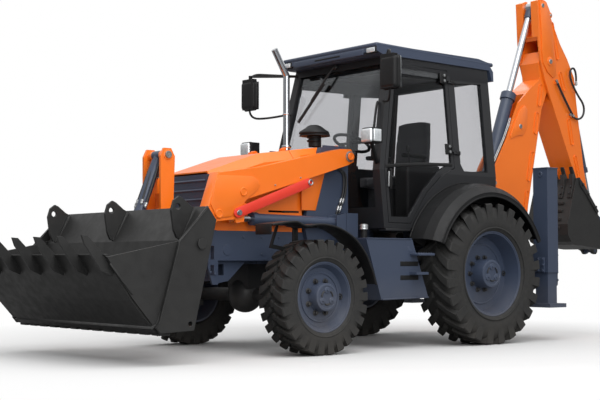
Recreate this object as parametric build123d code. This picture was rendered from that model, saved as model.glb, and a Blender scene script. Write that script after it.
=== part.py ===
"""Backhoe loader with a four-in-one clam bucket, a side-shift backhoe and vertical stabilizers.

Millimetres, +Z up, the machine faces -Y and its left side is +X. The working frame has the rear
axle over y = 0 and the ground at z = 0; every finished piece is moved by ORIGIN_SHIFT at the end,
so that the origin is the middle of the footprint of the whole machine.
"""
from build123d import *
from math import acos, atan2, cos, degrees, hypot, pi, radians, sin
import os

os.makedirs("parts", exist_ok=True)

# ---- driving dimensions --------------------------------------------------------------------------------
WHEELBASE = 2200
FRONT_Y = -WHEELBASE
RUN = 0.4                 # running gap of a pin, a rod or a sliding guide
SEAT = 0.3                # gap between pieces that are bolted together
SWEEP = 6                 # gap between panels that move past each other

# wheels: radius, section width, track centre, rim seat radius, lug height, lugs a side, lug thickness
WHEELS = {
    "front": dict(radius=503, width=320, x=958, y=FRONT_Y, rim=290, lug=30, lugs=16, bar=50, dish=52),
    "rear": dict(radius=694, width=430, x=928, y=0, rim=398, lug=36, lugs=16, bar=62, dish=150),
}
HUB_BORE = 60             # stub axle radius in a wheel

# frame
RAIL_X = 360              # outer face of a frame rail
RAIL_T = 22
FRAME_FRONT_Y = -2860
FRAME_REAR_Y = 900
FRAME_TOP_Z = 1085
FRAME_LOW_Z = 790

# loader
ARM_IN = 420              # inner face of a lift arm
SIDE_X = ARM_IN - 8       # outer face of the front side plates
ARM_OUT = 540
ARM_PIVOT = (-1388, 1809)
PIN_R = 27                # loader pins
BUCKET_PIN = (-3385, 470)
LIFT_KNEE = (-2700, 1195)
LIFT_BASE = (-1490, 1180)
LEVER_TOP = (-3195, 1752)
TILT_HALF = 58            # half width of the tilt cylinder's eyes
LEVER_X = (120, 146)      # inner and outer face of a tilt mast plate
TILT_EYE = (-3437, 1115)
TORQUE_TUBE = (-3075, 1085)
TORQUE_TUBE_R = 58
BUCKET_HALF = 1180        # half width over the wings
WING_T = 20
CLAM_PIN = (-3574, 951)
FORK_HOLE = (-3682, 1250)
FORK_HOLE_R = 25
WING_HOLE = (-3675, 325)
WING_HOLE_R = 20
CLAM_GAP = 8
TINE_PITCH = 0.311 * BUCKET_HALF
CLAM_T = 18
CLAM_IN = BUCKET_HALF - WING_T - CLAM_GAP - CLAM_T - CLAM_GAP

# hood
HOOD_HALF = 382
HOOD_FRONT_Y = -2925
HOOD_SPLIT_Y = -1950
HOOD_REAR_Y = -1330
HOOD_SHEET = 12

# cab
CAB_FLOOR_Z, CAB_BELT_Z, CAB_TOP_Z = 1130, 1680, 2800
CAB_WALL = 45
# section height, half width, front y, rear y
CAB_SECTIONS = [
    (CAB_FLOOR_Z, 780, -1165, 420),
    (CAB_BELT_Z, 800, -1245, 420),
    (CAB_TOP_Z, 690, -1015, 420),
]
DOOR_GAP = 6
ARCH_R = WHEELS["rear"]["radius"] + 37              # wheel arch in the cab's side
GLASS_T = 6

# rear frame and stabilizers
LEG_X = (895, 1080)
LEG_Y = (900, 1070)
LEG_Z = (700, 1790)
LEG_WALL = 12
FOOT_Z = 340
STAB_TRAVEL = 330         # how far a stabilizer goes down from its parked height
RAIL_BACK_Y = 1132        # rear face of the side-shift rails
SWING_AXIS_Y = 1400
CARRIAGE_BOSS_Z = (560, 935)    # lower and upper face of the swing boss
BOSS_R = 85

# backhoe
BOOM_HALF = 130
BOOM_WALL = 25
BOOM_FOOT = (1590, 800)
BOOM_HEAD = (2133, 3145)
BOOM_BOSS = (1628, 2352)
BOOM_BASE = (1300, 1092)
CROWD_BASE = (1180, 1690)
CROWD_EYE = (2012, 3790)
DIPPER_IN = 137
DIPPER_OUT = 160
HINGE = (2900, 1140)      # bucket hinge at the dipper's tip
HOE_HALF = 300            # half width of the backhoe bucket
HEAD_ROOM = 285           # radius kept free in the dipper round the boom head


# ---- helpers -------------------------------------------------------------------------------------------
def box(x0, x1, y0, y1, z0, z1):
    """A box between two corners."""
    size = (abs(x1 - x0), abs(y1 - y0), abs(z1 - z0))
    middle = ((x0 + x1) / 2, (y0 + y1) / 2, (z0 + z1) / 2)
    return Pos(*middle) * Box(*size)


def face(points, corner=0):
    """A face in local coordinates from a list of corners, rounded where a radius is given."""
    outline = make_face(Polyline(*points, close=True))
    if corner:
        outline = fillet(outline.vertices(), corner)
    return outline


def slab(points, x0, x1, corner=0):
    """A side profile of (y, z) points, extruded from x0 to x1."""
    return extrude(Plane.YZ.offset(min(x0, x1)) * face(points, corner), abs(x1 - x0))


def bar_x(at, radius, x0, x1):
    """A round bar along X through the (y, z) point at."""
    return Pos((x0 + x1) / 2, *at) * Rot(0, 90, 0) * Cylinder(radius, abs(x1 - x0))


def rod(a, b, radius):
    """A round bar between two 3-D points."""
    start, end = Vector(*a), Vector(*b)
    axis = end - start
    return extrude(Plane(origin=start, z_dir=axis) * Circle(radius), axis.length)


def mirror_x(shape):
    """The same piece on the machine's right side."""
    return mirror(shape, Plane.YZ)


def both(shape):
    """A left-hand piece and its right-hand copy."""
    return shape + mirror_x(shape)


def along(a, b, distance):
    """The (y, z) point at a distance from a towards b."""
    length = hypot(b[0] - a[0], b[1] - a[1])
    return (a[0] + (b[0] - a[0]) * distance / length, a[1] + (b[1] - a[1]) * distance / length)


def span(a, b):
    """Distance between two (y, z) points."""
    return hypot(b[0] - a[0], b[1] - a[1])


def eye_plate(at, radius, bore, x0, x1):
    """A round eye with its bore, along X."""
    return bar_x(at, radius, x0, x1) - bar_x(at, bore, x0 - 1, x1 + 1)


PARTS = {}


def part(name):
    """Registers the function that makes one node."""
    def keep(function):
        PARTS[name] = function
        return function
    return keep


# ---- wheels --------------------------------------------------------------------------------------------
def ring_body(stations, sides):
    """A many-sided body of revolution about X: stations are (x, radius), joined by ruled faces."""
    faces = []
    for x, radius in stations:
        points = [(radius * cos(2 * pi * i / sides), radius * sin(2 * pi * i / sides)) for i in range(sides)]
        faces.append(Plane.YZ.offset(x) * face(points))
    return loft(faces, ruled=True)


def tyre(spec):
    """A tyre about the X axis: faceted carcass with slanted lugs, alternating from side to side."""
    half, top, bar = spec["width"] / 2, spec["radius"] - 1, spec["bar"]
    crown = top - spec["lug"]
    seat, depth = spec["rim"], crown - spec["rim"]
    carcass = ring_body([
        (-half * 0.80, seat + 2), (-half, seat + depth * 0.42), (-half * 0.97, seat + depth * 0.76),
        (-half * 0.74, crown), (half * 0.74, crown), (half * 0.97, seat + depth * 0.76),
        (half, seat + depth * 0.42), (half * 0.80, seat + 2),
    ], 2 * spec["lugs"])
    carcass -= bar_x((0, 0), seat, -half, half)
    low = crown - depth * 0.26
    lugs = []
    for side in (-1, 1):
        outline = [
            (side * half * 0.97, -bar * 1.12), (side * half * 0.97, 0), (side * half * 0.55, bar * 0.12),
            (side * half * 0.03, bar * 1.20), (side * half * 0.03, bar * 0.40), (side * half * 0.50,
                -bar * 0.88),
        ]
        lug = extrude(Plane.XY.offset(low) * face(outline), top - low)
        for index in range(spec["lugs"]):
            lugs.append(Rot(360 / spec["lugs"] * (index + (0.5 if side > 0 else 0)), 0, 0) * lug)
    return carcass.fuse(*lugs)


def rim(spec, front):
    """A dished rim with its hub, for the left side (outside towards +X)."""
    half, seat, dish = spec["width"] / 2, spec["rim"], spec["dish"]
    flange = half * 0.80
    wall = 12
    section = [
        (flange, seat), (flange + 8, seat + 14), (flange + 8, seat - 4), (flange - dish, seat - 34),
        (flange - dish, HUB_BORE + 50), (flange - dish + 70, HUB_BORE + 40), (flange - dish + 70, 0),
        (flange - dish - 60, 0), (flange - dish - 60, HUB_BORE + 60), (flange - dish - wall - 6,
            HUB_BORE + 80),
        (flange - dish - wall - 6, seat - 34 - wall), (-flange, seat - 20), (-flange, seat),
    ]
    return revolve(Plane.XY * face(section), Axis.X)


def place_wheel(shape, spec, side):
    """Moves a left-hand wheel piece to its axle end; the right one is turned about Z."""
    if side < 0:
        shape = mirror_x(shape)
    return Pos(side * spec["x"], spec["y"], spec["radius"]) * shape


WHEEL_CORNERS = [("fl", "front", 1), ("fr", "front", -1), ("rl", "rear", 1), ("rr", "rear", -1)]
for corner, axle, side in WHEEL_CORNERS:
    PARTS[f"tyre_{corner}"] = lambda a=axle, s=side: place_wheel(tyre(WHEELS[a]), WHEELS[a], s)
    PARTS[f"rim_{corner}"] = lambda a=axle, s=side: place_wheel(rim(WHEELS[a], a == "front"), WHEELS[a], s)


def hub_face(spec):
    """X of the inner face of a wheel's hub, on the left side."""
    return spec["x"] + spec["width"] / 2 * 0.80 - spec["dish"] - 60


KINGPIN_X = hub_face(WHEELS["front"]) - 130


# ---- axles ---------------------------------------------------------------------------------------------
@part("axle_front")
def axle_front():
    """Driven front axle: beam, differential, pivot bosses and the forks of the kingpins."""
    z = WHEELS["front"]["radius"]
    beam = rod((-KINGPIN_X + 70, FRONT_Y, z), (KINGPIN_X - 70, FRONT_Y, z), 62)
    ball = Pos(0, FRONT_Y - 20, z) * Sphere(165)
    nose = rod((0, FRONT_Y, z), (0, FRONT_Y + 260, z + 20), 80)
    saddle = box(-150, 150, FRONT_Y - 110, FRONT_Y + 110, z + 60, FRAME_LOW_Z)
    fork = box(KINGPIN_X - 75, KINGPIN_X + 35, FRONT_Y - 55, FRONT_Y + 55, z - 120, z + 120)
    fork -= box(KINGPIN_X - 45, KINGPIN_X + 40, FRONT_Y - 60, FRONT_Y + 60, z - 90, z + 90)
    return beam + ball + nose + saddle + both(fork)


@part("axle_rear")
def axle_rear():
    """Rear axle: differential and tapered housings up to the wheel hubs, under its seats on the frame."""
    z = WHEELS["rear"]["radius"]
    end = hub_face(WHEELS["rear"]) - RUN
    half = rod((0, 0, z), (end, 0, z), 85)
    half += rod((end - 90, 0, z), (end, 0, z), 120)
    seat = box(260, RAIL_X, -110, 110, z, FRAME_LOW_Z)
    centre = Pos(0, 0, z) * Sphere(190)
    return centre + both(half) + both(seat)


def knuckle(side):
    """Steered hub carrier between the axle's fork, with the stub that the hub closes on."""
    z = WHEELS["front"]["radius"]
    body = rod((KINGPIN_X, FRONT_Y, z - 90 + RUN), (KINGPIN_X, FRONT_Y, z + 90 - RUN), 38)
    body += rod((KINGPIN_X, FRONT_Y, z), (hub_face(WHEELS["front"]) - RUN, FRONT_Y, z), 56)
    body += rod((KINGPIN_X + 75, FRONT_Y, z), (hub_face(WHEELS["front"]) - RUN, FRONT_Y, z), 105)
    return body if side > 0 else mirror_x(body)


FENDER_X = (862, 1100)
FENDER_R = WHEELS["front"]["radius"] + 82


def fender_front(side):
    """Front mudguard: a bent sheet over the tyre, on a bracket from the knuckle."""
    z = WHEELS["front"]["radius"]
    arc = [(FENDER_R * cos(radians(t)), FENDER_R * sin(radians(t))) for t in (-4, 18, 40, 62, 84, 104)]
    outer = [(FRONT_Y + y, z + w) for y, w in arc] + [(FRONT_Y - 560, z + FENDER_R * 1.065)]
    inner = [(FRONT_Y + y * 0.975, z + w * 0.975) for y, w in arc] + [(FRONT_Y - 560, z + FENDER_R * 1.045)]
    sheet = slab(outer + inner[::-1], *FENDER_X)
    arm_x = 700
    post = box(arm_x - 12, arm_x + 12, FRONT_Y - 45, FRONT_Y + 45, z + 92, z + FENDER_R - 25)
    shelf = box(arm_x - 12, FENDER_X[0] + 60, FRONT_Y - 45, FRONT_Y + 45, z + FENDER_R - 50,
        z + FENDER_R * 0.976)
    foot = box(KINGPIN_X + 100, arm_x - 12, FRONT_Y - 45, FRONT_Y + 45, z + 127, z + 150)
    foot += box(KINGPIN_X + 80, KINGPIN_X + 100, FRONT_Y - 45, FRONT_Y + 45, z + 105 + SEAT, z + 150)
    guard = sheet + post + shelf + foot
    return guard if side > 0 else mirror_x(guard)


for side_name, side in (("l", 1), ("r", -1)):
    PARTS[f"knuckle_{side_name}"] = lambda s=side: knuckle(s)
    PARTS[f"fender_front_{side_name}"] = lambda s=side: fender_front(s)


# ---- frame ---------------------------------------------------------------------------------------------
@part("main_frame")
def main_frame():
    """Two plate rails with cross members, bumper plates with lightening holes and the tow plate."""
    rail = slab([
        (FRAME_FRONT_Y, FRAME_TOP_Z), (-1300, FRAME_TOP_Z), (-1100, 1000), (FRAME_REAR_Y, 1000),
        (FRAME_REAR_Y, 560), (640, 560), (300, FRAME_LOW_Z), (-1700, FRAME_LOW_Z),
        (-2000, FRAME_LOW_Z + 20), (-2500, FRAME_LOW_Z + 20), (-2690, 640), (FRAME_FRONT_Y, 610),
    ], RAIL_X - RAIL_T, RAIL_X)
    for low, high in ((690, 790), (850, 990)):
        rail -= box(RAIL_X - RAIL_T - 1, RAIL_X + 1, FRAME_FRONT_Y + 35, FRAME_FRONT_Y + 120, low, high)
    inner = RAIL_X - RAIL_T
    ties = box(-inner, inner, FRAME_FRONT_Y + 150, FRAME_FRONT_Y + 172, 640, FRAME_TOP_Z)
    ties += box(-inner, inner, FRONT_Y - 150, FRONT_Y + 150, FRAME_LOW_Z, FRAME_LOW_Z + 40)
    ties += box(-inner, inner, -1500, -1300, FRAME_LOW_Z, FRAME_LOW_Z + 22)
    ties += box(-inner, inner, -120, 120, 940, 1000)
    ties += box(-inner, inner, FRAME_REAR_Y - 22, FRAME_REAR_Y, 560, 1000)
    tube = rod((-SIDE_X - 4, -2740, 915), (SIDE_X + 4, -2740, 915), 48)
    channel = box(RAIL_X - 1, SIDE_X, FRAME_FRONT_Y, -1930, 820, FRAME_TOP_Z)
    channel -= box(RAIL_X + 1, SIDE_X - 12, FRAME_FRONT_Y + 20, -1950, 800, FRAME_TOP_Z - 12)
    nose = slab([(-2948, 1095), (-2948, 760), (-2900, 610), (-2840, 610), (-2840, 1085)], SIDE_X - 22,
        SIDE_X)
    for z0, z1 in ((690, 780), (830, 950)):
        nose -= box(SIDE_X - 23, SIDE_X + 1, -2922, -2880, z0, z1)
    bumper = box(-SIDE_X, SIDE_X, FRAME_FRONT_Y - 24, FRAME_FRONT_Y, 640, FRAME_TOP_Z)
    bumper += box(-HOOD_HALF, HOOD_HALF, HOOD_FRONT_Y, FRAME_FRONT_Y, FRAME_TOP_Z - 14, FRAME_TOP_Z)
    mounts = [box(RAIL_X - 90, RAIL_X, y - 50, y + 50, 990, CAB_FLOOR_Z - SEAT) for y in (-1000, -350, 300)]
    body = both(rail + channel + nose + mounts[0] + mounts[1] + mounts[2]) + ties + tube + bumper
    return body


@part("engine_block")
def engine_block():
    """The engine as one plain block between the rails."""
    return box(-270, 270, -2600, -1750, FRAME_LOW_Z + 40, 1420)


@part("loader_towers")
def loader_towers():
    """Loader towers: plates outside the rails, lift cylinder forks and the pins of the lift arms."""
    inner, outer = RAIL_X, ARM_IN - 10
    plate = slab([
        (-1640, 1893), (-1330, 1894), (-1290, 1780), (-1290, 830), (-1760, 830), (-1830, 1110), (-1820,
            1240),
        (-1700, 1640),
    ], inner, outer)
    cap = box(inner - 25, outer, -1600, -1340, 1893, 1915) - box(0, HOOD_HALF + 5, -1700, -1300, 1800,
        hood_top(-1340) + 4)
    pin = bar_x(ARM_PIVOT, PIN_R, outer - 5, ARM_OUT + 16)
    ring = bar_x(ARM_PIVOT, PIN_R + 14, ARM_OUT + 6, ARM_OUT + 16)
    fork = slab([(-1440, 1270), (-1300, 1270), (-1300, 1040), (-1440, 1040)], outer - 5, ARM_OUT + 20)
    cheek = slab([(-1560, 1240), (-1430, 1270), (-1430, 1060), (-1560, 1120)], LIFT_X - 70, LIFT_X - 52)
    cheek += slab([(-1560, 1240), (-1430, 1270), (-1430, 1060), (-1560, 1120)], LIFT_X + 52, LIFT_X + 70)
    column = plate + cap + pin + ring + fork + cheek + bar_x(LIFT_BASE, 22, LIFT_X - 70, LIFT_X + 70)
    tie = box(-inner, inner, -1430, -1350, 1560, 1640)
    return both(column) + tie


LIFT_X = (ARM_IN + ARM_OUT) / 2


# ---- hood ----------------------------------------------------------------------------------------------
def hood_top(y):
    """Height of the hood's top at y: two straight flanks."""
    knots = [(HOOD_FRONT_Y, 1600), (-2500, 1742), (-2300, 1805), (HOOD_REAR_Y, 1935)]
    for (y0, z0), (y1, z1) in zip(knots, knots[1:]):
        if y <= y1:
            return z0 + (z1 - z0) * (y - y0) / (y1 - y0)
    return knots[-1][1]


def hood_solid(y0, y1, inset, bottom):
    """The closed form of the hood between two stations, shrunk by inset, as a ruled loft."""
    stations = sorted({y0, y1, *[y for y in (-2500, -2300) if y0 < y < y1]})
    sections = []
    for y in stations:
        top, half = hood_top(y) - inset, HOOD_HALF - inset
        outline = [(-half, bottom), (-half, top - 90), (-half + 75, top), (half - 75, top), (half, top - 90),
                   (half, bottom)]
        sections.append(Plane(origin=(0, y, 0), x_dir=(1, 0, 0), z_dir=(0, -1, 0)) * face(outline))
    return loft(sections, ruled=True)


HOOD_LOW_Z = FRAME_TOP_Z + SEAT
LID_LOW_Z = 1490          # lower edge of the lid's flanks at the front
LID_HINGE = (HOOD_SPLIT_Y + 3, 1870)


def lid_cut(margin):
    """The space that the lid takes: above a sloping line, in front of the split."""
    return slab([
        (HOOD_FRONT_Y - 50, LID_LOW_Z - margin), (HOOD_SPLIT_Y + margin, LID_LOW_Z + 170 - margin),
        (HOOD_SPLIT_Y + margin, 2100), (HOOD_FRONT_Y - 50, 2100),
    ], -HOOD_HALF - 20, HOOD_HALF + 20)


@part("hood_body")
def hood_body():
    """Fixed side panels and rear cowl of the engine hood, open below."""
    shell = hood_solid(HOOD_FRONT_Y + 40, HOOD_REAR_Y, 0, HOOD_LOW_Z)
    shell -= hood_solid(HOOD_FRONT_Y + 20, HOOD_REAR_Y - HOOD_SHEET, HOOD_SHEET, HOOD_LOW_Z - 10)
    shell -= lid_cut(SWEEP)
    slot = box(-HOOD_HALF - 5, HOOD_HALF + 5, -2250, -2000, 1262, 1280)
    tower_gap = box(RAIL_X - 3, HOOD_HALF + 5, -1850, HOOD_REAR_Y + 5, HOOD_LOW_Z - 5, 1895)
    lip = box(RAIL_X - 60, HOOD_HALF - 2, HOOD_FRONT_Y + 60, -1860, HOOD_LOW_Z, HOOD_LOW_Z + 10)
    shell = shell - slot - both(tower_gap) + both(lip)
    pin = bar_x(LID_HINGE, 6, 200, 262) + bar_x(LID_HINGE, 12, 200, 214)
    pin += box(200, 214, LID_HINGE[0] - 2, LID_HINGE[0] + 26, hood_top(LID_HINGE[0]) - 8, LID_HINGE[1] + 6)
    return shell + both(pin)


@part("hood_lid")
def hood_lid():
    """Hood lid, hinged across its rear edge."""
    shell = hood_solid(HOOD_FRONT_Y + 40, HOOD_SPLIT_Y, 0, HOOD_LOW_Z)
    shell -= hood_solid(HOOD_FRONT_Y + 20, HOOD_SPLIT_Y + 20, HOOD_SHEET, HOOD_LOW_Z - 10)
    lid = shell & lid_cut(0)
    lug = box(215, 258, LID_HINGE[0] - 40, LID_HINGE[0] - 4, hood_top(LID_HINGE[0] - 40) - 8,
        LID_HINGE[1] - 2)
    lug += bar_x(LID_HINGE, 12, 215, 258)
    return lid + both(lug) - both(bar_x(LID_HINGE, 6 + RUN, 214, 259))


@part("grille")
def grille():
    """Radiator cowl with cross ribs in front of the hood."""
    y = HOOD_FRONT_Y + 40 - 1
    top = hood_top(y - 32) - 20
    shell = box(-HOOD_HALF + 20, HOOD_HALF - 20, y - 32, y - 5, HOOD_LOW_Z, top)
    for index in range(5):
        low = HOOD_LOW_Z + 60 + index * 84
        shell -= box(-HOOD_HALF + 50, HOOD_HALF - 50, y - 31, y - 12, low, low + 52)
    return shell


@part("exhaust")
def exhaust():
    """Bright exhaust stack with a raked tail."""
    x, y = 60, -1770
    foot = hood_top(y + 32) + SEAT
    path = Wire([Edge.make_line((x, y, foot), (x, y, 2600)), Edge.make_line((x, y, 2600), (x, y - 150,
        2840))])
    return sweep(Plane(origin=(x, y, foot), z_dir=(0, 0, 1)) * Circle(32), path, transition=Transition.RIGHT)


@part("air_intake")
def air_intake():
    """Mushroom air intake on its neck."""
    x, y = 200, -1530
    neck = rod((x, y, hood_top(y + 62) + SEAT), (x, y, 2030), 62)
    cap = revolve(Plane.XZ * face([(0, 2020), (150, 2020), (140, 2055), (70, 2110), (0, 2120)]), Axis.Z)
    return neck + Pos(x, y, 0) * cap


# ---- loader --------------------------------------------------------------------------------------------
def arm_outline():
    """Side profile of a lift arm, from the tower over the knee down to the bucket pin."""
    return [
        (-1330, 1830), (-1370, 1880), (-1500, 1875), (-2481, 1653), (-2933, 1583), (-3043, 1290), (-3430,
            500),
        (-3425, 430), (-3350, 415), (-3290, 460), (-2985, 1130), (-2945, 1161), (-2729, 1184), (-2666, 1313),
        (-2611, 1365), (-1639, 1655), (-1400, 1730), (-1335, 1760),
    ]


@part("loader_arms")
def loader_arms():
    """Both lift arms, joined by the torque tube that carries the tilt mast."""
    arm = slab(arm_outline(), ARM_IN, ARM_OUT)
    arm -= bar_x(ARM_PIVOT, PIN_R + RUN, ARM_IN - 1, ARM_OUT + 1)
    arm -= box(LIFT_X - 37, LIFT_X + 37, -2830, -2585, 1080, 1335)
    arm += slab([(-2780, 1290), (-2630, 1330), (-2655, 1160), (-2740, 1150)], LIFT_X - 60, LIFT_X - 37)
    arm += slab([(-2780, 1290), (-2630, 1330), (-2655, 1160), (-2740, 1150)], LIFT_X + 37, LIFT_X + 60)
    arm -= slab([(-3500, 700), (-3500, 380), (-3255, 380), (-3355, 700)], LIFT_X - 32, LIFT_X + 32)
    arm += bar_x(BUCKET_PIN, PIN_R, ARM_IN, ARM_OUT + 8)
    tube = bar_x(TORQUE_TUBE, TORQUE_TUBE_R, -ARM_IN - 5, ARM_IN + 5)
    mast = slab([
        (-3030, 1120), (-3120, 1060), (-3265, 1270), (-3270, 1740), (-3235, 1810), (-3160, 1810), (-3120,
            1740),
        (-3135, 1270),
    ], *LEVER_X)
    pin = bar_x(LEVER_TOP, 28, LEVER_X[0], LEVER_X[1] + 14) + bar_x(LEVER_TOP, 42, TILT_HALF + RUN,
        LEVER_X[0] + 1)
    tie = box(-LEVER_X[0], LEVER_X[0], -3150, -3135, 1290, 1420)
    return both(arm) + tube + both(mast + pin) + tie


@part("safety_strut")
def safety_strut():
    """Red lift-arm safety strut, stowed on the left arm."""
    low, high = (-2717, 1235), (-1940, 1525)
    x0, x1 = ARM_OUT + 14, ARM_OUT + 26
    direction = atan2(high[1] - low[1], high[0] - low[0])
    across = (-sin(direction) * 38, cos(direction) * 38)
    strip = slab([
        (low[0] + across[0], low[1] + across[1]), (high[0] + across[0], high[1] + across[1]),
        (high[0] - across[0], high[1] - across[1]), (low[0] - across[0], low[1] - across[1]),
    ], x0, x1)
    ends = [bar_x(point, 38, x0, x1) for point in (low, high)]
    pins = [bar_x(point, 14, ARM_OUT + 0.3, x1 + 10) for point in (low, (-2020, 1495 + 60))]
    return strip + ends[0] + ends[1] + pins[0]


def cylinder_pair(base, eye, extension, hidden, retract, bore_r, rod_r, eye_r, half, end_half=None):
    """Barrel and rod of a hydraulic cylinder in the plane x = 0 between two (y, z) pins."""
    length = span(base, eye)
    gland = along(base, eye, length - extension)
    foot = along(base, eye, eye_r + 14)
    barrel = rod((0, *foot), (0, *gland), bore_r)
    barrel += rod((0, *base), (0, *along(base, eye, eye_r + 15)), min(half, eye_r) - 3)
    barrel += rod((0, *along(base, eye, length - extension - 60)), (0, *gland), bore_r + 9)
    barrel += bar_x(base, eye_r, -half, half)
    inner = along(base, eye, length - extension - hidden - retract - 10)
    barrel -= rod((0, *inner), (0, *along(base, eye, length - extension + 1)), rod_r + RUN)
    shaft = rod((0, *along(base, eye, length - extension - hidden)), (0, *along(base, eye,
        length - eye_r * 0.6)), rod_r)
    end_half = end_half or half
    shaft += bar_x(eye, eye_r, -end_half, end_half)
    return barrel, shaft


def lift_cylinder(index):
    """Lift barrels (0) or rods (1), a left and right pair on one axis."""
    pieces = cylinder_pair(LIFT_BASE, LIFT_KNEE, 170, 690, 60, 50, 28, 45, 51.6, 36.6)
    piece = Pos(LIFT_X, 0, 0) * pieces[index]
    if index == 0:
        piece -= bar_x(LIFT_BASE, 22 + RUN, LIFT_X - 70, LIFT_X + 70)
    return both(piece)


PARTS["lift_barrels"] = lambda: lift_cylinder(0)
PARTS["lift_rods"] = lambda: lift_cylinder(1)


def tilt_cylinder(index):
    """Tilt barrel (0) hanging from the mast, or its rod (1)."""
    return cylinder_pair(LEVER_TOP, TILT_EYE, 95, 470, 20, 46, 28, 42, TILT_HALF)[index]


PARTS["tilt_barrel"] = lambda: tilt_cylinder(0)
PARTS["tilt_rod"] = lambda: tilt_cylinder(1)

BACK_OUTER = [(-3432, 1150), (-3520, 1250), (-3545, 1235), (-3720, 1000), (-3850, 620), (-3960, 330),
    (-3990, 290),
              (-3970, 262), (-3640, 270)]


@part("loader_bucket")
def loader_bucket():
    """Rear half of the clam bucket: moldboard on a box back, wings, hinge ears and fork brackets."""
    inner = BUCKET_HALF - WING_T
    wing = slab([
        (-3512, 1253), (-3426, 1144), (-3639, 270), (-3954, 257), (-3994, 304), (-3965, 349), (-3782, 970),
    ], inner, BUCKET_HALF)
    board = slab([
        (-3505, 1253), (-3478, 1235), (-3640, 960), (-3700, 600), (-3690, 300), (-3640, 270), (-3955, 258),
        (-3995, 290), (-3960, 322), (-3880, 345), (-3780, 480), (-3735, 700), (-3672, 980),
    ], -CLAM_IN, CLAM_IN)
    board += both(slab([(-3510, 1250), (-3432, 1150), (-3475, 1135), (-3530, 1210)], CLAM_IN - 1, inner + 1))
    board += both(slab([(-3705, 620), (-3620, 620), (-3660, 380), (-3740, 380)], CLAM_IN - 1, inner + 1))
    wing -= bar_x(CLAM_PIN, 26 + RUN, inner - 1, BUCKET_HALF + 1)
    ear = slab([(-3600, 900), (-3480, 700), (-3340, 530), (-3320, 450), (-3370, 405), (-3440, 410),
        (-3700, 330),
                (-3700, 600)], LIFT_X - 31.6, LIFT_X + 31.6)
    ear -= bar_x(BUCKET_PIN, PIN_R + RUN, LIFT_X - 32, LIFT_X + 32)
    clevis = slab([(-3500, 1190), (-3425, 1190), (-3420, 1080), (-3600, 880), (-3660, 900), (-3600,
        1060)], TILT_HALF + RUN, TILT_HALF + 22)
    bracket = slab([
        (-3672, 1335), (-3640, 1322), (-3560, 1262), (-3500, 1235), (-3655, 990), (-3690, 1000), (-3720,
            1060),
        (-3745, 1220), (-3720, 1300),
    ], 988, 1012)
    bracket -= bar_x(FORK_HOLE, FORK_HOLE_R, 980, 1020)
    wing -= bar_x(WING_HOLE, WING_HOLE_R, inner - 1, BUCKET_HALF + 1)
    middle = Pos(-1000, 0, 0) * bracket
    return both(wing) + board + both(ear) + both(clevis) + both(bracket) + middle


@part("clam")
def clam():
    """Front shell of the clam bucket: curved floor, side plates and hook tines on its lip."""
    outer = BUCKET_HALF - WING_T - CLAM_GAP
    thick = CLAM_T
    side = slab([
        (-4417, 845), (-3782, 970), (-3640, 1010), (-3540, 985), (-3530, 920), (-3620, 870), (-3800, 760),
        (-3975, 335), (-4005, 320), (-4190, 530),
    ], outer - thick, outer)
    floor = slab([
        (-4428, 862), (-4400, 862), (-4170, 530), (-4000, 345), (-3999, 318), (-4012, 312), (-4196, 512),
    ], -outer + thick, outer - thick)
    pin = bar_x(CLAM_PIN, 26, outer - 2, BUCKET_HALF + 18) + bar_x(CLAM_PIN, 42, BUCKET_HALF + 3,
        BUCKET_HALF + 18)
    tines = []
    for index in range(7):
        x = (index - 3) * TINE_PITCH
        tines.append(slab([
            (-4420, 865), (-4560, 1003), (-4610, 1006), (-4585, 940), (-4440, 740), (-4345, 700), (-4330,
                745),
        ], x - 11, x + 11))
    body = both(side) + floor + both(pin)
    return body.fuse(*tines)


# ---- cab -----------------------------------------------------------------------------------------------
def cab_hull(inset):
    """The closed form of the cab, shrunk by inset, as two stacked ruled lofts."""
    faces = []
    for z, half, front, rear in CAB_SECTIONS:
        lift = inset if z == CAB_FLOOR_Z else (-inset if z == CAB_TOP_Z else 0)
        outline = [(-half + inset, front + inset), (half - inset, front + inset), (half - inset,
            rear - inset),
                   (-half + inset, rear - inset)]
        faces.append(Plane.XY.offset(z + lift) * face(outline))
    return loft(faces[:2], ruled=True) + loft(faces[1:], ruled=True)


def cab_front(z, inset=0):
    """Y of the cab's front face at a height."""
    for (z0, _, y0, _), (z1, _, y1, _) in zip(CAB_SECTIONS, CAB_SECTIONS[1:]):
        if z <= z1:
            return y0 + (y1 - y0) * (z - z0) / (z1 - z0) + inset
    return CAB_SECTIONS[-1][2] + inset


DOOR_REAR_Y = -195
DOOR_HINGE_Z = (1900, 2620)


def hinge_at(z):
    """The left door's hinge line at a height, outside the leaning side wall."""
    (_, x0, _, _), (z0, x1, _, _), (z2, x2, _, _) = CAB_SECTIONS
    return (x1 + (x2 - x1) * (z - z0) / (z2 - z0) + 15, DOOR_REAR_Y - DOOR_GAP / 2, z)
DOOR_TOP_Z = 2735


def door_outline(gap):
    """Door opening in side view: front edge along the A pillar, rear edge cut round the mudguard."""
    low = 1178
    front = 62
    return [
        (cab_front(low) + front + gap, low + gap), (cab_front(CAB_BELT_Z) + front + gap, CAB_BELT_Z),
        (cab_front(DOOR_TOP_Z) + front + gap, DOOR_TOP_Z - gap), (DOOR_REAR_Y - gap, DOOR_TOP_Z - gap),
        (DOOR_REAR_Y - gap, 1740 + gap), (-400 - gap, 1650 + gap), (-600 - gap, 1480 + gap),
        (-760 - gap, 1250 + gap), (-800 - gap, low + gap),
    ]


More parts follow.
